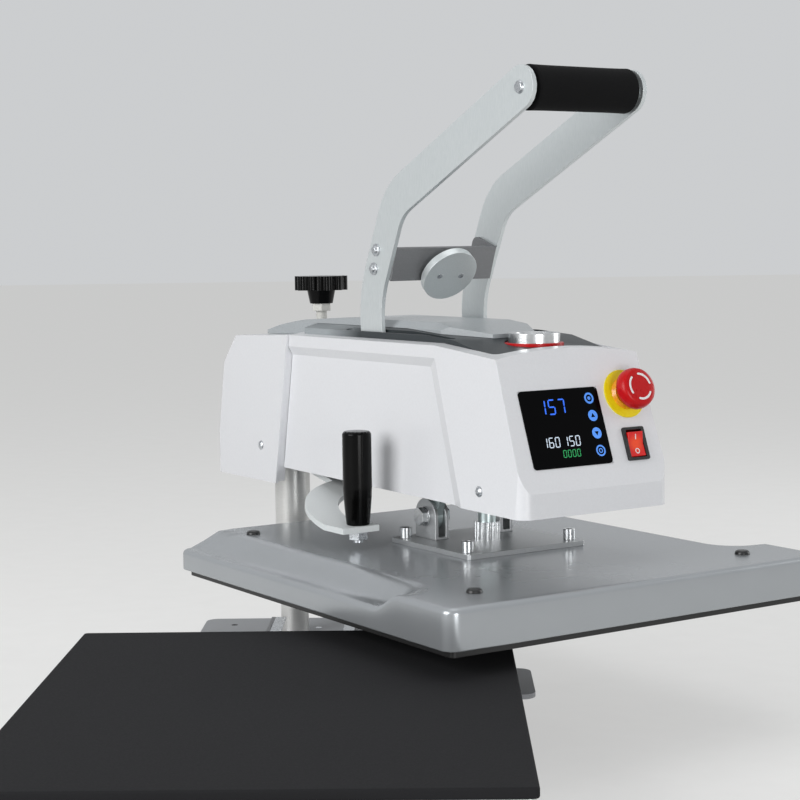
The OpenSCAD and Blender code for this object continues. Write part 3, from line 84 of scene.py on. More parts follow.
def on_arm(x, ahead, z):
    """Row-frame points of the swung arm: sideways of the platens' centre line, ahead of the column, height."""
    side = np.asarray(x, float) + COLUMN_OFFSET
    ahead = np.asarray(ahead, float)
    x, y, z = np.broadcast_arrays(
        column_x + side * math.cos(SWING) + ahead * math.sin(SWING),
        column_y + side * math.sin(SWING) - ahead * math.cos(SWING),
        np.asarray(z, float))
    return np.stack([x, y, z], -1)


def on_panel(x, up, out):
    """Row-frame points of the raked control panel: sideways, up the slope, and out of its face."""
    return on_arm(x, PANEL_U - up * math.sin(RAKE) + out * math.cos(RAKE),
                  PANEL_Z + up * math.cos(RAKE) + out * math.sin(RAKE))


def on_yoke(x, ahead, z):
    """Row-frame points given where they lie with the handle pressed, turned back about the shaft to rest."""
    a, h = ahead - SHAFT_U, z - SHAFT_Z
    return on_arm(x, SHAFT_U + a * math.cos(TILT) - h * math.sin(TILT),
                  SHAFT_Z + a * math.sin(TILT) + h * math.cos(TILT))


# Meshes

def piece(name, points, faces, body, look, smooth=True):
    """One mesh object of the press from points and faces, riding on a body and wearing a finish."""
    mesh = bpy.data.meshes.new(name)
    mesh.from_pydata(np.asarray(points).reshape(-1, 3).tolist(), [], faces)
    mesh.polygons.foreach_set("use_smooth", np.full(len(mesh.polygons), smooth))
    mesh.materials.append(look)
    obj = bpy.data.objects.new(name, mesh)
    bpy.context.scene.collection.objects.link(obj)
    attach(obj, body)
    return obj


def ring_skin(rings, first=0):
    """Closed skin over a stack of equal rings, counted from its first point: quads between neighbouring rings,
    each ring closing on itself, and one flat face at each end."""
    rows, cols = rings.shape[:2]
    i = first + np.arange(rows - 1)[:, None] * cols
    j = np.arange(cols)[None, :]
    k = (j + 1) % cols
    quads = np.stack([i + j, i + k, i + k + cols, i + j + cols], -1).reshape(-1, 4)
    low = first + np.arange(cols)
    high = low + (rows - 1) * cols
    return quads.tolist() + [low[::-1].tolist(), high.tolist()]


def round_rectangle(w, d, r):
    """Rings of a rectangle with quarter-circle corners, anticlockwise: four arcs joined by evenly spaced edges."""
    on_corner, on_side, on_front = 10, 64, 24
    w, d, r = (np.asarray(v, float).reshape(-1, 1) for v in (w, d, r))
    arcs = []
    for k, (sx, sy) in enumerate([(1, -1), (1, 1), (-1, 1), (-1, -1)]):
        a = np.linspace(k - 1, k, on_corner)[None, :] * math.pi / 2
        arcs.append((sx * (w / 2 - r) + r * np.cos(a), sy * (d / 2 - r) + r * np.sin(a)))
    out = []
    for k, (x, y) in enumerate(arcs):
        t = np.linspace(0, 1, (on_side, on_front)[k % 2] + 2)[None, 1:-1]
        nx, ny = arcs[(k + 1) % 4]
        out += [(x, y), (x[:, -1:] * (1 - t) + nx[:, :1] * t, y[:, -1:] * (1 - t) + ny[:, :1] * t)]
    return np.concatenate([o[0] for o in out], 1), np.concatenate([o[1] for o in out], 1)


def turned(profile, sides, place):
    """Rings of a turned shape: each (radius, height) of the profile goes once round the axis; place puts them."""
    a = np.linspace(0, 2 * math.pi, sides, endpoint=False)
    r, h = profile[:, :1], profile[:, 1:]
    return place(r * np.cos(a), r * np.sin(a), np.broadcast_to(h, (len(profile), sides)))


def plates(outlines, low, high, place):
    """Flat plates: each outline of the list is a closed ring, lifted from low to high; sides and both faces."""
    points, faces, first = [], [], 0
    for o in outlines:
        rings = np.stack([place(o[:, 0], o[:, 1], np.full(len(o), h)) for h in (low, high)])
        points.append(rings.reshape(-1, 3))
        faces += ring_skin(rings, first)
        first += 2 * len(o)
    return np.concatenate(points), faces


def soften(name, width, angle):
    """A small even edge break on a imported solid: triangles welded and level ones joined into whole faces, then
    bevelled where faces meet by more than the angle in degrees, with flat faces kept flat."""
    obj = nodes[name]
    obj.data.polygons.foreach_set("use_smooth", np.full(len(obj.data.polygons), True))
    weld = obj.modifiers.new("weld", "WELD")
    weld.merge_threshold = 0.02 * MM
    whole = obj.modifiers.new("whole_faces", "DECIMATE")
    whole.decimate_type = "DISSOLVE"
    whole.angle_limit = math.radians(0.3)
    bevel = obj.modifiers.new("edge_break", "BEVEL")
    bevel.width = width
    bevel.segments = 2
    bevel.limit_method = "ANGLE"
    bevel.angle_limit = math.radians(angle)
    bevel.face_strength_mode = "FSTR_AFFECTED"
    shade = obj.modifiers.new("even_shade", "WEIGHTED_NORMAL")
    shade.use_face_influence = True


# Finishes

def srgb(code):
    """Linear colour of an sRGB hex code."""
    c = np.array([int(code[i:i + 2], 16) for i in (1, 3, 5)]) / 255
    return (*np.where(c <= 0.04045, c / 12.92, ((c + 0.055) / 1.055) ** 2.4), 1.0)


def node(tree, kind, inputs=None, **settings):
    """Adds a node, sets its properties, then gives each named input a value or a link."""
    n = tree.nodes.new(kind)
    for key, value in settings.items():
        setattr(n, key, value)
    for key, value in (inputs or {}).items():
        socket = n.inputs[key]
        if isinstance(value, bpy.types.NodeSocket):
            tree.links.new(value, socket)
        else:
            socket.default_value = value
    return n


def per(mm):
    """Pattern scale on metre coordinates for a feature of that many millimetres."""
    return 1000 / mm


def finish(name, dark, light, grain, rough, bump=0.0, stretch=(1, 1, 1), **sockets):
    """One finish: a noise of a real grain size in mm, stretched along the working direction, drives a narrow
    spread of colour between two hex values, a spread of roughness, and a bump of that depth in mm."""
    mat = bpy.data.materials.new(name)
    mat.use_nodes = True
    tree = mat.node_tree
    shader = tree.nodes["Principled BSDF"]
    where = node(tree, "ShaderNodeTexCoord").outputs["Object"]
    place = node(tree, "ShaderNodeMapping", {"Vector": where, "Scale": stretch}).outputs[0]
    noise = node(tree, "ShaderNodeTexNoise", {"Vector": place, "Scale": per(grain), "Detail": 3.0,
                                              "Roughness": 0.55}).outputs["Fac"]
    span = {"Value": noise, "From Min": 0.3, "From Max": 0.7}
    spread = node(tree, "ShaderNodeMapRange", span).outputs[0]
    colour = node(tree, "ShaderNodeMix", {0: spread, 6: srgb(dark), 7: srgb(light)}, data_type="RGBA").outputs[2]
    tree.links.new(colour, shader.inputs["Base Color"])
    gloss = node(tree, "ShaderNodeMapRange", {**span, "To Min": rough[0], "To Max": rough[1]}).outputs[0]
    tree.links.new(gloss, shader.inputs["Roughness"])
    if bump:
        lift = node(tree, "ShaderNodeBump", {"Height": noise, "Strength": 1.0, "Distance": bump * MM}).outputs[0]
        tree.links.new(lift, shader.inputs["Normal"])
    for key, value in sockets.items():
        shader.inputs[key.replace("_", " ")].default_value = value
    return mat


# Pearl enamel sprayed on the covers: bright, a soft sheen and a faint orange peel under a clear coat
pearl_enamel = finish("pearl_enamel", "#E6E7EA", "#E9EAED", 2.5, (0.32, 0.36), 0.002,
                      Coat_Weight=0.35, Coat_Roughness=0.12)
# Silver metallic stove enamel on pressed sheet: satin, faintly cloudy
silver_enamel = finish("silver_enamel", "#ACB0B3", "#AFB3B6", 60.0, (0.25, 0.265), Metallic=0.55,
                       Specular_IOR_Level=0.25)
# Satin nickel plate over ground flat bar: pale metal, fine lines along the bar
satin_nickel = finish("satin_nickel", "#D3D9DA", "#DCE1E2", 0.9, (0.34, 0.40), 0.0008, stretch=(1, 1, 0.12),
                      Metallic=0.6)
# Turned steel tube with a clear lacquer: pale grey, faint rings round the axis
turned_steel = finish("turned_steel", "#D3D3D1", "#DADAD8", 0.8, (0.28, 0.34), stretch=(0.08, 0.08, 1),
                      Metallic=0.5)
# Milled aluminium plate: pale, broad soft tool lines across
milled_aluminium = finish("milled_aluminium", "#B9BBBD", "#CBCDCE", 1.2, (0.32, 0.45), 0.004, stretch=(0.1, 1, 1),
                          Metallic=0.9)
# Moulded silicone rubber: charcoal, dead matt, a fine cloth mark from the press mould
silicone_rubber = finish("silicone_rubber", "#19191B", "#202022", 1.4, (0.74, 0.88), 0.05,
                         Specular_IOR_Level=0.2)
# Closed-cell foam sleeve: black skin with small pits
foam_skin = finish("foam_skin", "#070708", "#0D0D0E", 1.1, (0.76, 0.92), 0.10, Specular_IOR_Level=0.15)
# Phenolic moulding: black, hard, polished in the mould
phenolic = finish("phenolic", "#030303", "#050505", 3.0, (0.12, 0.20), 0.002, Specular_IOR_Level=0.12)
# Moulded ABS with a fine spark-eroded grain: dark slate for the top panel, pale grey for the hood
slate_abs = finish("slate_abs", "#2F3437", "#383D40", 0.9, (0.34, 0.44), 0.006, Specular_IOR_Level=0.25)
grey_hood = finish("grey_hood", "#A3A9AC", "#AFB4B7", 0.9, (0.26, 0.34), 0.004, Coat_Weight=0.2,
                   Coat_Roughness=0.15)
# Bright zinc plate on small hardware: bluish, cloudy
zinc_plate = finish("zinc_plate", "#B4B8BC", "#CDD0D3", 2.2, (0.22, 0.36), 0.003, Metallic=1.0)
# Chrome plate: mirror bright, only a trace of handling haze
chrome_plate = finish("chrome_plate", "#C9CBCD", "#D6D8D9", 3.0, (0.16, 0.26), Metallic=1.0)
# Rolled sheet with a dull nickel strike on the mount plate: grey, faint mill lines
mill_plate = finish("mill_plate", "#B4B6B8", "#C2C4C5", 1.2, (0.34, 0.44), 0.002, stretch=(1, 0.15, 1),
                    Metallic=0.8)
# Shot-blasted steel of the cross plate: dull grey
blasted_steel = finish("blasted_steel", "#7F8082", "#8D8E90", 1.0, (0.50, 0.62), 0.004, Metallic=0.6)
# Powder coat on the hook bracket: off-white, satin
pale_powder = finish("pale_powder", "#D8DCDC", "#DFE3E3", 1.3, (0.40, 0.50), 0.006)
# Nylon lock nut and screw end below the knob: off-white
pale_nylon = finish("pale_nylon", "#D3D2CC", "#DEDDD8", 2.0, (0.40, 0.50), 0.003)
# Ground steel: fine random grinding lines
ground_steel = finish("ground_steel", "#B4C0C0", "#C2CECE", 0.8, (0.30, 0.40), 0.001, stretch=(1, 1, 0.2),
                      Metallic=0.75)
# Powder coat on the base: grey, slightly pebbled
grey_powder = finish("grey_powder", "#97999C", "#A5A7AA", 1.3, (0.42, 0.55), 0.02)
# Powder coat on the pull: black, slightly pebbled
black_powder = finish("black_powder", "#131314", "#1E1E20", 1.3, (0.40, 0.55), 0.02)
# Paint over rough castings and flame-cut plate inside the arm: dark grey, uneven
casting_paint = finish("casting_paint", "#3A3B3D", "#494A4C", 2.4, (0.45, 0.62), 0.05)
# Sintered bronze bushes: dull gold, porous
sintered_bronze = finish("sintered_bronze", "#8A6A3A", "#A5834C", 0.7, (0.35, 0.55), 0.01, Metallic=0.9)
# Non-stick coat on the heating plate: black, satin
nonstick_coat = finish("nonstick_coat", "#131313", "#1C1C1C", 1.0, (0.38, 0.50), 0.006)
# Pressed fibre board: pale, flecked
fibre_board = finish("fibre_board", "#C9BFA6", "#DAD1BB", 1.5, (0.75, 0.92), 0.06)
# Rubber feet: black, matt, a little dusty
foot_rubber = finish("foot_rubber", "#141414", "#232323", 2.0, (0.70, 0.88), 0.03)
# Solder mask curtain-coated on the circuit board: green, half glossy
solder_mask = finish("solder_mask", "#0E4A26", "#146032", 2.0, (0.28, 0.42), 0.004)
# Moulded switch plastics: one gloss red, one satin yellow, one clear amber, one satin black, one grey
red_abs = finish("red_abs", "#BE0D12", "#C91217", 3.0, (0.26, 0.36), 0.003, Specular_IOR_Level=0.25)
yellow_abs = finish("yellow_abs", "#F0DC12", "#F7E41C", 3.0, (0.35, 0.45), 0.003, Specular_IOR_Level=0.3)
amber_abs = finish("amber_abs", "#F4A00A", "#FBB014", 3.0, (0.18, 0.28), 0.002, Coat_Weight=0.3,
                   Coat_Roughness=0.1)
black_abs = finish("black_abs", "#0D0D0E", "#171718", 1.6, (0.30, 0.42), 0.006)
grey_abs = finish("grey_abs", "#54565A", "#606266", 1.6, (0.35, 0.48), 0.006)
# Clear red rocker key with a lamp behind it: glows, most at its middle
lit_red = finish("lit_red", "#B80C0A", "#C8120E", 4.0, (0.16, 0.24), 0.002, Coat_Weight=0.2,
                 Coat_Roughness=0.08, Emission_Strength=0.35)
# Display window: back-printed black glass
printed_glass = finish("printed_glass", "#020203", "#030304", 6.0, (0.08, 0.12), Specular_IOR_Level=0.06)
# Lit figures and touch marks behind the glass, and white print on the stop button and the rocker
lit_blue = finish("lit_blue", "#1F55C8", "#2A63D6", 2.0, (0.4, 0.5), Emission_Color=srgb("#2A66E4"),
                  Emission_Strength=0.75)
lit_sky = finish("lit_sky", "#3F77CE", "#4A84DA", 2.0, (0.4, 0.5), Emission_Color=srgb("#4F8DE4"),
                 Emission_Strength=0.55)
lit_white = finish("lit_white", "#AEBBC8", "#C3CED8", 2.0, (0.4, 0.5), Emission_Color=srgb("#C6D4E4"),
                   Emission_Strength=0.55)
lit_green = finish("lit_green", "#1F8A4A", "#2A9C58", 2.0, (0.4, 0.5), Emission_Color=srgb("#22A05A"),
                   Emission_Strength=0.5)
white_print = finish("white_print", "#EDEDED", "#F5F5F5", 2.0, (0.35, 0.45))


def fade_panel():
    """Sprays the top panel paler towards its rear end, where it meets the hood's tail: the way ahead of the column
    mixes the two colours evenly between two stations."""
    all_pale, all_dark = 150 * MM, 215 * MM
    tree = slate_abs.node_tree
    ahead = (math.sin(SWING), -math.cos(SWING), 0)
    column = column_x * ahead[0] + column_y * ahead[1]
    where = node(tree, "ShaderNodeTexCoord").outputs["Object"]
    way = node(tree, "ShaderNodeVectorMath", {0: where, 1: ahead}, operation="DOT_PRODUCT").outputs["Value"]
    fade = node(tree, "ShaderNodeMapRange", {"Value": way, "From Min": column + all_pale,
                                             "From Max": column + all_dark, "To Min": 1.0, "To Max": 0.0})
    colour = tree.nodes["Principled BSDF"].inputs["Base Color"]
    tint = node(tree, "ShaderNodeMix", {0: fade.outputs[0], 6: colour.links[0].from_socket, 7: srgb("#9CA2A5")},
                data_type="RGBA")
    tree.links.new(tint.outputs[2], colour)


def light_key():
    """Lamp behind the rocker key: the way from the key's middle, smoothed between two radii, turns the glow from
    orange to red."""
    core, rim = 3 * MM, 11 * MM
    tree = lit_red.node_tree
    where = node(tree, "ShaderNodeTexCoord").outputs["Object"]
    way = node(tree, "ShaderNodeVectorMath", {0: where, 1: on_panel(KEY_X, KEY_UP, 0)},
               operation="DISTANCE").outputs["Value"]
    near = node(tree, "ShaderNodeMapRange", {"Value": way, "From Min": core, "From Max": rim, "To Min": 1.0,
                                             "To Max": 0.0}, interpolation_type="SMOOTHSTEP")
    glow = node(tree, "ShaderNodeMix", {0: near.outputs[0], 6: srgb("#C00806"), 7: srgb("#FF6A1E")},
                data_type="RGBA")
    tree.links.new(glow.outputs[2], tree.nodes["Principled BSDF"].inputs["Emission Color"])


fade_panel()
light_key()

by_slot = {
    "base_paint": grey_powder, "black_rubber": foot_rubber, "zinc_steel": zinc_plate, "column_steel": turned_steel,
    "plain_aluminium": milled_aluminium, "silicone": silicone_rubber, "black_steel": black_powder,
    "dark_casting": casting_paint, "bronze": sintered_bronze, "ground_steel": ground_steel, "red_plastic": red_abs,
    "pearl_white": pearl_enamel, "slate_plastic": slate_abs, "black_glass": printed_glass,
    "green_board": solder_mask, "yellow_plastic": yellow_abs, "amber_plastic": amber_abs, "grey_plastic": grey_abs,
    "black_plastic": black_abs, "bright_steel": satin_nickel, "black_foam": foam_skin,
    "silver_paint": silver_enamel, "coated_aluminium": nonstick_coat, "insulation": fibre_board,
    "chrome": chrome_plate,
}
by_node = {
    "swing_grip": phenolic, "pressure_knob": phenolic, "rocker_key": lit_red, "top_hood": grey_hood,
    "mount_plate": mill_plate, "clevis_brackets": mill_plate, "pressure_screw": pale_nylon,
    "cross_plate": blasted_steel, "electromagnet": chrome_plate, "armature_disc": satin_nickel,
    "slide_brackets": grey_powder, "hook_bracket": pale_powder,
}
for part in frame["record"]["subparts"]:
    obj = nodes[part["node"]]
    obj.data.materials.clear()
    obj.data.materials.append(by_node.get(part["node"], by_slot[part["material_slot"]]))

# Edge breaks, in millimetres, by how each solid is made, and the creases that are broken too, in degrees
breaks = {
    1.8: ["housing_shell", "rear_cover"],
    1.2: ["top_panel", "top_hood", "hook_bracket", "left_bar", "right_bar", "lower_platen", "swing_grip"],
    0.8: ["mount_plate", "cross_plate", "clevis_brackets", "armature_disc", "electromagnet", "pressure_knob",
          "base_plate", "slide_brackets", "drawer_carriage", "stop_collar", "base_feet", "heating_plate"],
    0.5: ["rocker_frame", "rocker_key", "estop_legend", "estop_body", "display_glass", "grip_stud", "clevis_bolts",
          "mount_bolts", "spindle_nut", "yoke_bolts", "pressure_screw", "cover_plugs", "column_bolts",
          "toggle_links", "crank_hub", "outer_slides", "inner_slides", "housing_screws", "arm_plates", "arm_floor",
          "arm_ties", "swing_block", "magnet_ring", "spindle_bush", "pivot_bushes"],
    0.4: ["column_post", "swing_sleeve", "guide_spindle", "pivot_shaft", "drawer_pull", "grip_tube", "estop_stem",
          "insulation_board", "control_board"],
}
EDGE_ANGLE = 30
crease_angle = {"housing_shell": 17, "top_hood": 12}
for mm, names in breaks.items():
    for name in names:
        soften(name, mm * MM, crease_angle.get(name, EDGE_ANGLE))


# Upper platen cover

def cover_height(x, y):
    """Height of the cover's top: a level field whose two sides fall to lower shoulders. How far a point is up the
    ramp is the root of the squares of its way in from the side and its way forward past the shoulder's end,
    and half a cosine wave turns that into height."""
    side = (COVER_W / 2 - np.abs(x) - SHOULDER_FLAT) / SHOULDER_RAMP
    fore = (SHOULDER_END - SHOULDER_FLAT - (y + COVER_D / 2)) / SHOULDER_RAMP
    way = np.clip(np.hypot(np.clip(side, 0, 2), np.clip(fore, 0, 2)), 0, 1)
    rise = COVER_TOP - COVER_LOW - SHOULDER_H
    return COVER_LOW + SHOULDER_H + rise * (1 - np.cos(math.pi * way)) / 2


def platen_cover():
    """Pressed cover: rings step in from the outline. The wall rises plumb, rolls over a quarter circle of 5 mm,
    then follows the height of the top to the middle; below, the rim turns in to the heating plate."""
    roll, least_corner = 5 * MM, 2 * MM
    turn = np.linspace(0, math.pi / 2, 8)
    rim_in = np.array([7.4, 7.4, 0.8, 0.2, 0]) * MM
    rim_up = np.array([9, 0, 0, 0.3, 1.2]) * MM
    top_in = np.concatenate([np.arange(9, 70, 2.5), [80, 110, 150, 190, 217]]) * MM
    inset = np.concatenate([rim_in, roll * (1 - np.cos(turn)), top_in])
    below = np.concatenate([roll * (1 - np.sin(turn)), np.zeros(len(top_in))])
    x, y = round_rectangle(COVER_W - 2 * inset, COVER_D - 2 * inset, np.maximum(COVER_R - inset, least_corner))
    z = cover_height(x, y)
    z[:len(rim_in)] = COVER_LOW + rim_up[:, None]
    z[len(rim_in):] -= below[:, None]
    rings = on_arm(x, PLATEN_U - y, z)
    obj = piece("platen_cover_skin", rings, ring_skin(rings), "platen", silver_enamel)
    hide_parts("platen_cover")


# Lips of the rear cover

def cover_lips():
    """Lips turned in from the rear cover's front edges to the flanks: on each side an oblong section, repeated up
    the leaning seam at the flank's half width, from a little below the housing's foot to just under its top."""
    foot, top, stations = -0.06, 0.945, 24
    proud, sunk, front, back = 0.8 * MM, -8.5 * MM, -0.6 * MM, -2.2 * MM
    up = np.linspace(foot, top, stations)[:, None]
    seam = SEAM_LOW + (SEAM_HIGH - SEAM_LOW) * up
    half = HOUSE_HW - (HOUSE_HW - HOUSE_TOP_HW) * up
    out = np.array([proud, proud, sunk, sunk])
    fore = np.array([front, back, back, front])
    for name, side in (("left", -1), ("right", 1)):
        rings = on_arm(side * (half + out)[:, ::side], (seam + fore)[:, ::side], HOUSE_Z + HOUSE_H * up)
        piece(f"cover_lip_{name}", rings, ring_skin(rings), "head", pearl_enamel, smooth=False)


# Silicone pad and foam grip

def silicone_pad():
    """Pad: rings step out under it, round a lower and an upper edge rolled by quarter circles of 1.6 mm, and in
    again over its level top."""
    roll, corner, least_corner = 1.6 * MM, 4 * MM, 1 * MM
    under_in = np.array([190, 60]) * MM
    over_in = np.array([4, 12, 40, 90, 150, 192]) * MM
    a = np.linspace(0, math.pi / 2, 5)
    slow, fast = roll * (1 - np.cos(a)), roll * (1 - np.sin(a))
    low, high = pad_low.z, pad_high.z
    inset = np.concatenate([under_in, fast, slow, over_in])
    z = np.concatenate([np.full(len(under_in), low), low + slow, high - fast, np.full(len(over_in), high)])
    size = pad_high - pad_low
    x, y = round_rectangle(size.x - 2 * inset, size.y - 2 * inset, np.maximum(corner - inset, least_corner))
    middle = (pad_low + pad_high) / 2
    rings = np.stack([middle.x + x, middle.y + y, np.broadcast_to(z[:, None], x.shape)], -1)
    obj = piece("silicone_sheet", rings, ring_skin(rings), "drawer", silicone_rubber)
    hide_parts("silicone_pad")


def foam_grip():
    """Foam sleeve on the handle tube: a turned profile, a little swollen at both ends, whose rims roll in by the
    root of one less the square of the way past the rim's start."""
    half, tube, r, swell, rim = 58 * MM, 12.6 * MM, 20.4 * MM, 0.5 * MM, 2 * MM
    t = np.sin(np.linspace(-1, 1, 61) * math.pi / 2)
    past = np.clip((np.abs(t) * half - (half - rim)) / rim, 0, 1)
    inner = tube + rim
    radius = inner + (r + swell * np.abs(t) ** 6 - inner) * np.sqrt(1 - past ** 2)
    profile = np.concatenate([[[tube, -half]], np.stack([radius, t * half], -1), [[tube, half]]])
    rings = turned(profile, 64, lambda p, q, h: on_arm(h, GRIP_U + p, GRIP_Z - q))
    obj = piece("foam_sleeve", rings, ring_skin(rings), "yoke", foam_skin)
    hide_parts("foam_grip")


# Stop button

def on_stop(p, q, h):
    """Points round the stop button's axis, at a height above the mushroom's underside."""
    return on_panel(STOP_X + p, STOP_UP + q, STOP_LOW + h)


def stop_button():
    """Mushroom: a turned profile with a rounded rim, a flat top and a waist below, scaled to the cap's radius."""
    profile = np.array([[6.1, 0.3], [11, 0], [14.5, 0.2], [16.8, 1.2], [18.1, 3], [18.5, 5.2], [18.4, 8.4],
                        [17.8, 11], [17.0, 13.2], [15.6, 14.5], [14.2, 14.9], [9, 14.9], [5, 14.9], [1.5, 14.9],
                        [0.2, 14.9]]) * MM
    profile[1:, 0] *= STOP_R / profile[:, 0].max()
    rings = turned(profile, 72, on_stop)
    obj = piece("stop_mushroom", rings, ring_skin(rings), "estop_cap", red_abs)
    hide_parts("estop_button")


def stop_marks():
    """Three white turn marks on the mushroom: plain arc bands of 76 degrees with round ends."""
    middle, half, low, high = 12.1 * MM, 1.05 * MM, 14.2 * MM, 15.05 * MM
    count, sweep, begin, steps = 3, math.radians(76), math.radians(12), 16
    end = np.linspace(0, math.pi, 7)[1:-1]
    r = np.concatenate([np.full(steps, middle + half), middle + half * np.cos(end),
                        np.full(steps, middle - half), middle - half * np.cos(end)])
    bow = half * np.sin(end) / middle
    outlines = []
    for k in range(count):
        a = np.linspace(0, sweep, steps) + begin + k * 2 * math.pi / count
        turn = np.concatenate([a, a[-1] + bow, a[::-1], a[0] - bow])
        outlines.append(np.stack([r * np.cos(turn), r * np.sin(turn)], -1))
    points, faces = plates(outlines, low, high, on_stop)
    piece("stop_turn_marks", points, faces, "estop_cap", white_print, smooth=False)


# Display and thin marks

MARK_LOW, MARK_HIGH, ARROW_HIGH = -0.05 * MM, 0.12 * MM, 0.16 * MM
LIT_BARS = {"0": "abcdef", "1": "bc", "2": "abged", "3": "abgcd", "4": "fgbc", "5": "afgcd", "6": "afgedc",
            "7": "abc", "8": "abcdefg", "9": "abcdfg"}
BAR_ENDS = {"a": ((0, 2), (1, 2)), "b": ((1, 2), (1, 1)), "c": ((1, 1), (1, 0)), "d": ((0, 0), (1, 0)),
            "e": ((0, 0), (0, 1)), "f": ((0, 1), (0, 2)), "g": ((0, 1), (1, 1))}


def on_glass(x, up, out):
    """Points on the display: sideways and up from its middle, out of its face."""
    return on_panel(GLASS_X + x, GLASS_UP + up, GLASS_OUT + out)


def figure_bars(text, left, base, high, pitch):
    """Plain seven-bar figures, sizes in mm: each lit bar is a six-sided strip with pointed ends, and each point
    leans sideways by a share of its height."""
    wide, bar, lean = high * 0.5, high * 0.1, 0.08
    gap = bar * 0.62
    outlines = []
    for i, digit in enumerate(text):
        for s in LIT_BARS[digit]:
            p, q = np.array(BAR_ENDS[s]) * (wide, high / 2)
            d = (q - p) / np.linalg.norm(q - p)
            n = np.array([-d[1], d[0]]) * bar / 2
            p, q = p + d * gap, q - d * gap
            ring = np.array([p - d * bar / 2, p - n, q - n, q + d * bar / 2, q + n, p + n])
            ring[:, 0] += ring[:, 1] * lean
            outlines.append((ring + (left + i * pitch, base)) * MM)
    return outlines


def disc_ring(x, y, inner, outer):
    """Ring outline, sizes in mm: the outer circle, then back along the inner one, open by a hair."""
    a = np.linspace(0, 2 * math.pi - 0.02, 28)[:, None]
    way = np.concatenate([np.cos(a), np.sin(a)], 1)
    return (np.concatenate([outer * way, inner * way[::-1]]) + (x, y)) * MM


def display_marks():
    """Lit figures and the four touch marks of the display, thin plates just proud of the glass: two rings, and two
    discs with a dark arrow on each."""
    touch_x, touch_r, hole = 34, 5.4, 0.1
    set_up, more_up, less_up, clear_up = 26.2, 9.3, -7.6, -24.5
    touch = [disc_ring(touch_x, set_up, 3.5, touch_r), disc_ring(touch_x, clear_up, 3.9, touch_r),
             disc_ring(touch_x, set_up, 0.2, 1.7), disc_ring(touch_x, clear_up, 1.4, 2.3),
             disc_ring(touch_x, more_up, hole, touch_r), disc_ring(touch_x, less_up, hole, touch_r)]
    arrow = np.array([[-2.4, -1.6], [2.4, -1.6], [0, 2.5]])
    arrows = [(arrow + (touch_x, more_up)) * MM, ((arrow * (1, -1))[[0, 2, 1]] + (touch_x, less_up)) * MM]
    now = figure_bars("160", -30.7, -17.6, 9, 7.2) + figure_bars("150", -7, -17.6, 9, 7.2)
    for outlines, high, look, name in (
            (figure_bars("157", -26.5, 13.5, 13.5, 11.2), MARK_HIGH, lit_blue, "figures_set"),
            (now, MARK_HIGH, lit_white, "figures_now"),
            (figure_bars("0000", -10, -27.8, 6.5, 5.4), MARK_HIGH, lit_green, "figures_count"),
            (touch, MARK_HIGH, lit_sky, "touch_marks"),
            (arrows, ARROW_HIGH, printed_glass, "touch_arrows")):
        points, faces = plates(outlines, MARK_LOW, high, on_glass)
        piece(name, points, faces, "head", look, smooth=False)


def on_key(p, along, out):
    """Points on the tipped rocker key: sideways, along it, and out of its face, which rises evenly from a saddle
    over the axis to both ends."""
    saddle, slope = 4.2 * MM, 2.0 / 11.6
    out = out + saddle + slope * np.abs(along)
    return on_panel(KEY_X + p, KEY_UP + along * math.cos(KEY_TILT) - out * math.sin(KEY_TILT),
                    KEY_AXIS + along * math.sin(KEY_TILT) + out * math.cos(KEY_TILT))


def rocker_marks():
    """The plain line and ring on the two ends of the rocker key, thin plates lying on its sloped faces."""
    line = np.array([[-0.5, 4.4], [0.5, 4.4], [0.5, 9.4], [-0.5, 9.4]]) * MM
    for name, outline in (("rocker_line", line), ("rocker_ring", disc_ring(0, -6.6, 1.8, 2.6))):
        points, faces = plates([outline], MARK_LOW, MARK_HIGH, on_key)
        piece(name, points, faces, "rocker", white_print, smooth=False)


# Screws of the armature disc

def disc_screws():
    """Two countersunk screw heads, all but flush with the armature disc's face, a turned profile each."""
    spread, seat = 13 * MM, 0.3 * MM
    profile = np.array([[3.2, 0.3], [3.2, -0.06], [2.8, -0.15], [1.4, -0.15], [0.1, -0.15]]) * MM
    for k, x in enumerate((-spread, spread)):
        rings = turned(profile, 24, lambda p, q, h: on_yoke(x + p, MAGNET_U + q, MAGNET_Z + seat + h))
        piece(f"disc_screw_{k + 1}", rings, ring_skin(rings), "yoke", zinc_plate)


platen_cover()
cover_lips()
silicone_pad()
foam_grip()
stop_button()
stop_marks()
display_marks()
rocker_marks()
disc_screws()


# Studio

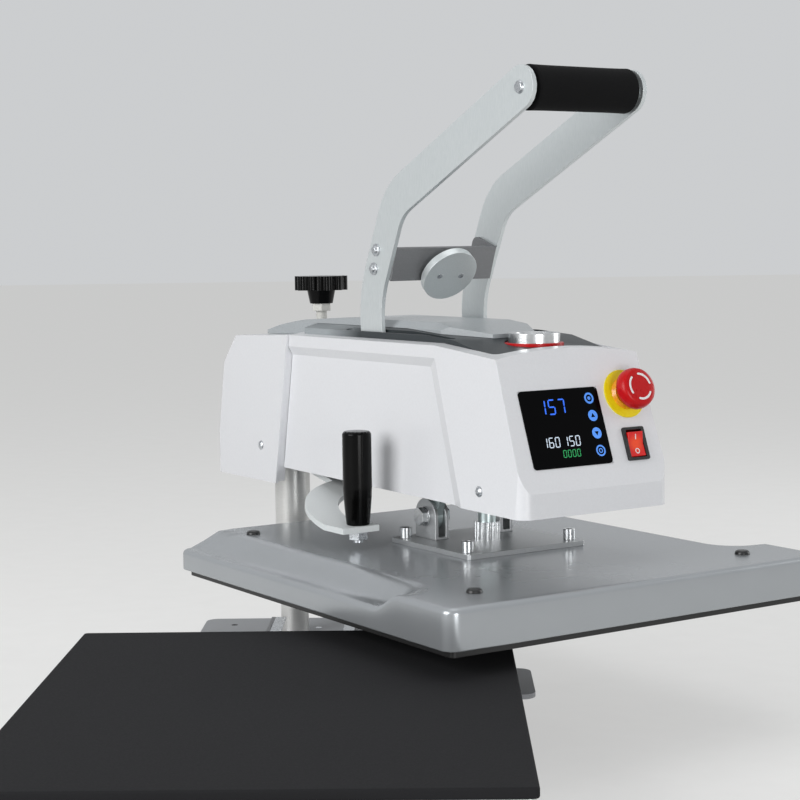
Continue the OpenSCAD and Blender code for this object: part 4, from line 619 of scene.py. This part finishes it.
def studio():
    """Plain pale floor, an even pale sky and four soft lamps. Sky and floor show one strength to the camera and to
    glossy and clear surfaces, and light the press with another."""
    reach = 20
    mesh = bpy.data.meshes.new("floor")
    mesh.from_pydata([(-reach, -reach, 0), (reach, -reach, 0), (reach, reach, 0), (-reach, reach, 0)], [],
                     [(0, 1, 2, 3)])
    floor = bpy.data.objects.new("floor", mesh)
    bpy.context.scene.collection.objects.link(floor)
    mesh.materials.append(finish("floor_paper", "#B4B4B3", "#B7B7B6", 40.0, (0.85, 0.95), Specular_IOR_Level=0.0))
    world = bpy.data.worlds.new("studio")
    bpy.context.scene.world = world
    world.use_nodes = True
    world.node_tree.nodes.clear()
    for tree, shown, lit in ((world.node_tree, 0.74, 0.33), (mesh.materials[0].node_tree, 0.52, 0.0)):
        path = node(tree, "ShaderNodeLightPath").outputs
        seen = node(tree, "ShaderNodeMath", {0: path["Is Camera Ray"], 1: path["Is Glossy Ray"]}).outputs[0]
        seen = node(tree, "ShaderNodeMath", {0: seen, 1: path["Is Transmission Ray"]}, use_clamp=True).outputs[0]
        strength = node(tree, "ShaderNodeMapRange", {"Value": seen, "To Min": lit, "To Max": shown}).outputs[0]
        if tree == world.node_tree:
            sky = node(tree, "ShaderNodeBackground", {"Color": srgb("#E9EBED"), "Strength": strength}).outputs[0]
            node(tree, "ShaderNodeOutputWorld", {"Surface": sky})
        else:
            shader = tree.nodes["Principled BSDF"]
            shader.inputs["Emission Color"].default_value = srgb("#F2F2F1")
            tree.links.new(strength, shader.inputs["Emission Strength"])
    for name, place, aim, size, watts in (
            ("key", (-2.0, -1.5, 1.2), (0, 0, 0.3), 1.7, 50),
            ("front", (0.9, -2.2, 0.3), (0.2, -0.2, 0.25), 0.9, 22),
            ("top", (0.2, 0.3, 2.3), (0, 0, 0.2), 1.4, 6),
            ("side", (2.0, 0.8, 0.8), (0, 0, 0.3), 1.2, 12)):
        lamp = bpy.data.lights.new(name, "AREA")
        lamp.size = size
        lamp.energy = watts
        obj = bpy.data.objects.new(name, lamp)
        bpy.context.scene.collection.objects.link(obj)
        obj.location = place
        obj.rotation_euler = (Vector(aim) - Vector(place)).to_track_quat("-Z", "Y").to_euler()


def camera():
    """The photograph's view: a long lens a little above the pad, turned slightly left and down, with a trace of
    roll. The eye is set off from the middle of the pad's upper front edge."""
    pitch, yaw, roll = 0.08762, 0.01843, -0.01421
    from_edge = Vector((0.13197, -1.18951, 0.36510))
    focal_pixels, picture_pixels, sensor = 1824.0, 800, 36
    ahead = Vector((-math.sin(yaw) * math.cos(pitch), math.cos(yaw) * math.cos(pitch), -math.sin(pitch)))
    right = Vector((math.cos(yaw), math.sin(yaw), 0))
    up = right.cross(ahead)
    right, up = right * math.cos(roll) + up * math.sin(roll), up * math.cos(roll) - right * math.sin(roll)
    eye = Vector(((pad_low.x + pad_high.x) / 2, pad_low.y, pad_high.z)) + from_edge
    lens = bpy.data.cameras.new("camera")
    lens.sensor_width = sensor
    lens.lens = focal_pixels / picture_pixels * sensor
    lens.clip_end = 60
    obj = bpy.data.objects.new("camera", lens)
    bpy.context.scene.collection.objects.link(obj)
    turn = Matrix((right, up, -ahead)).transposed()
    obj.matrix_world = Matrix.Translation(eye) @ turn.to_4x4()
    bpy.context.scene.camera = obj


studio()
camera()
bpy.context.scene.view_settings.view_transform = "Standard"
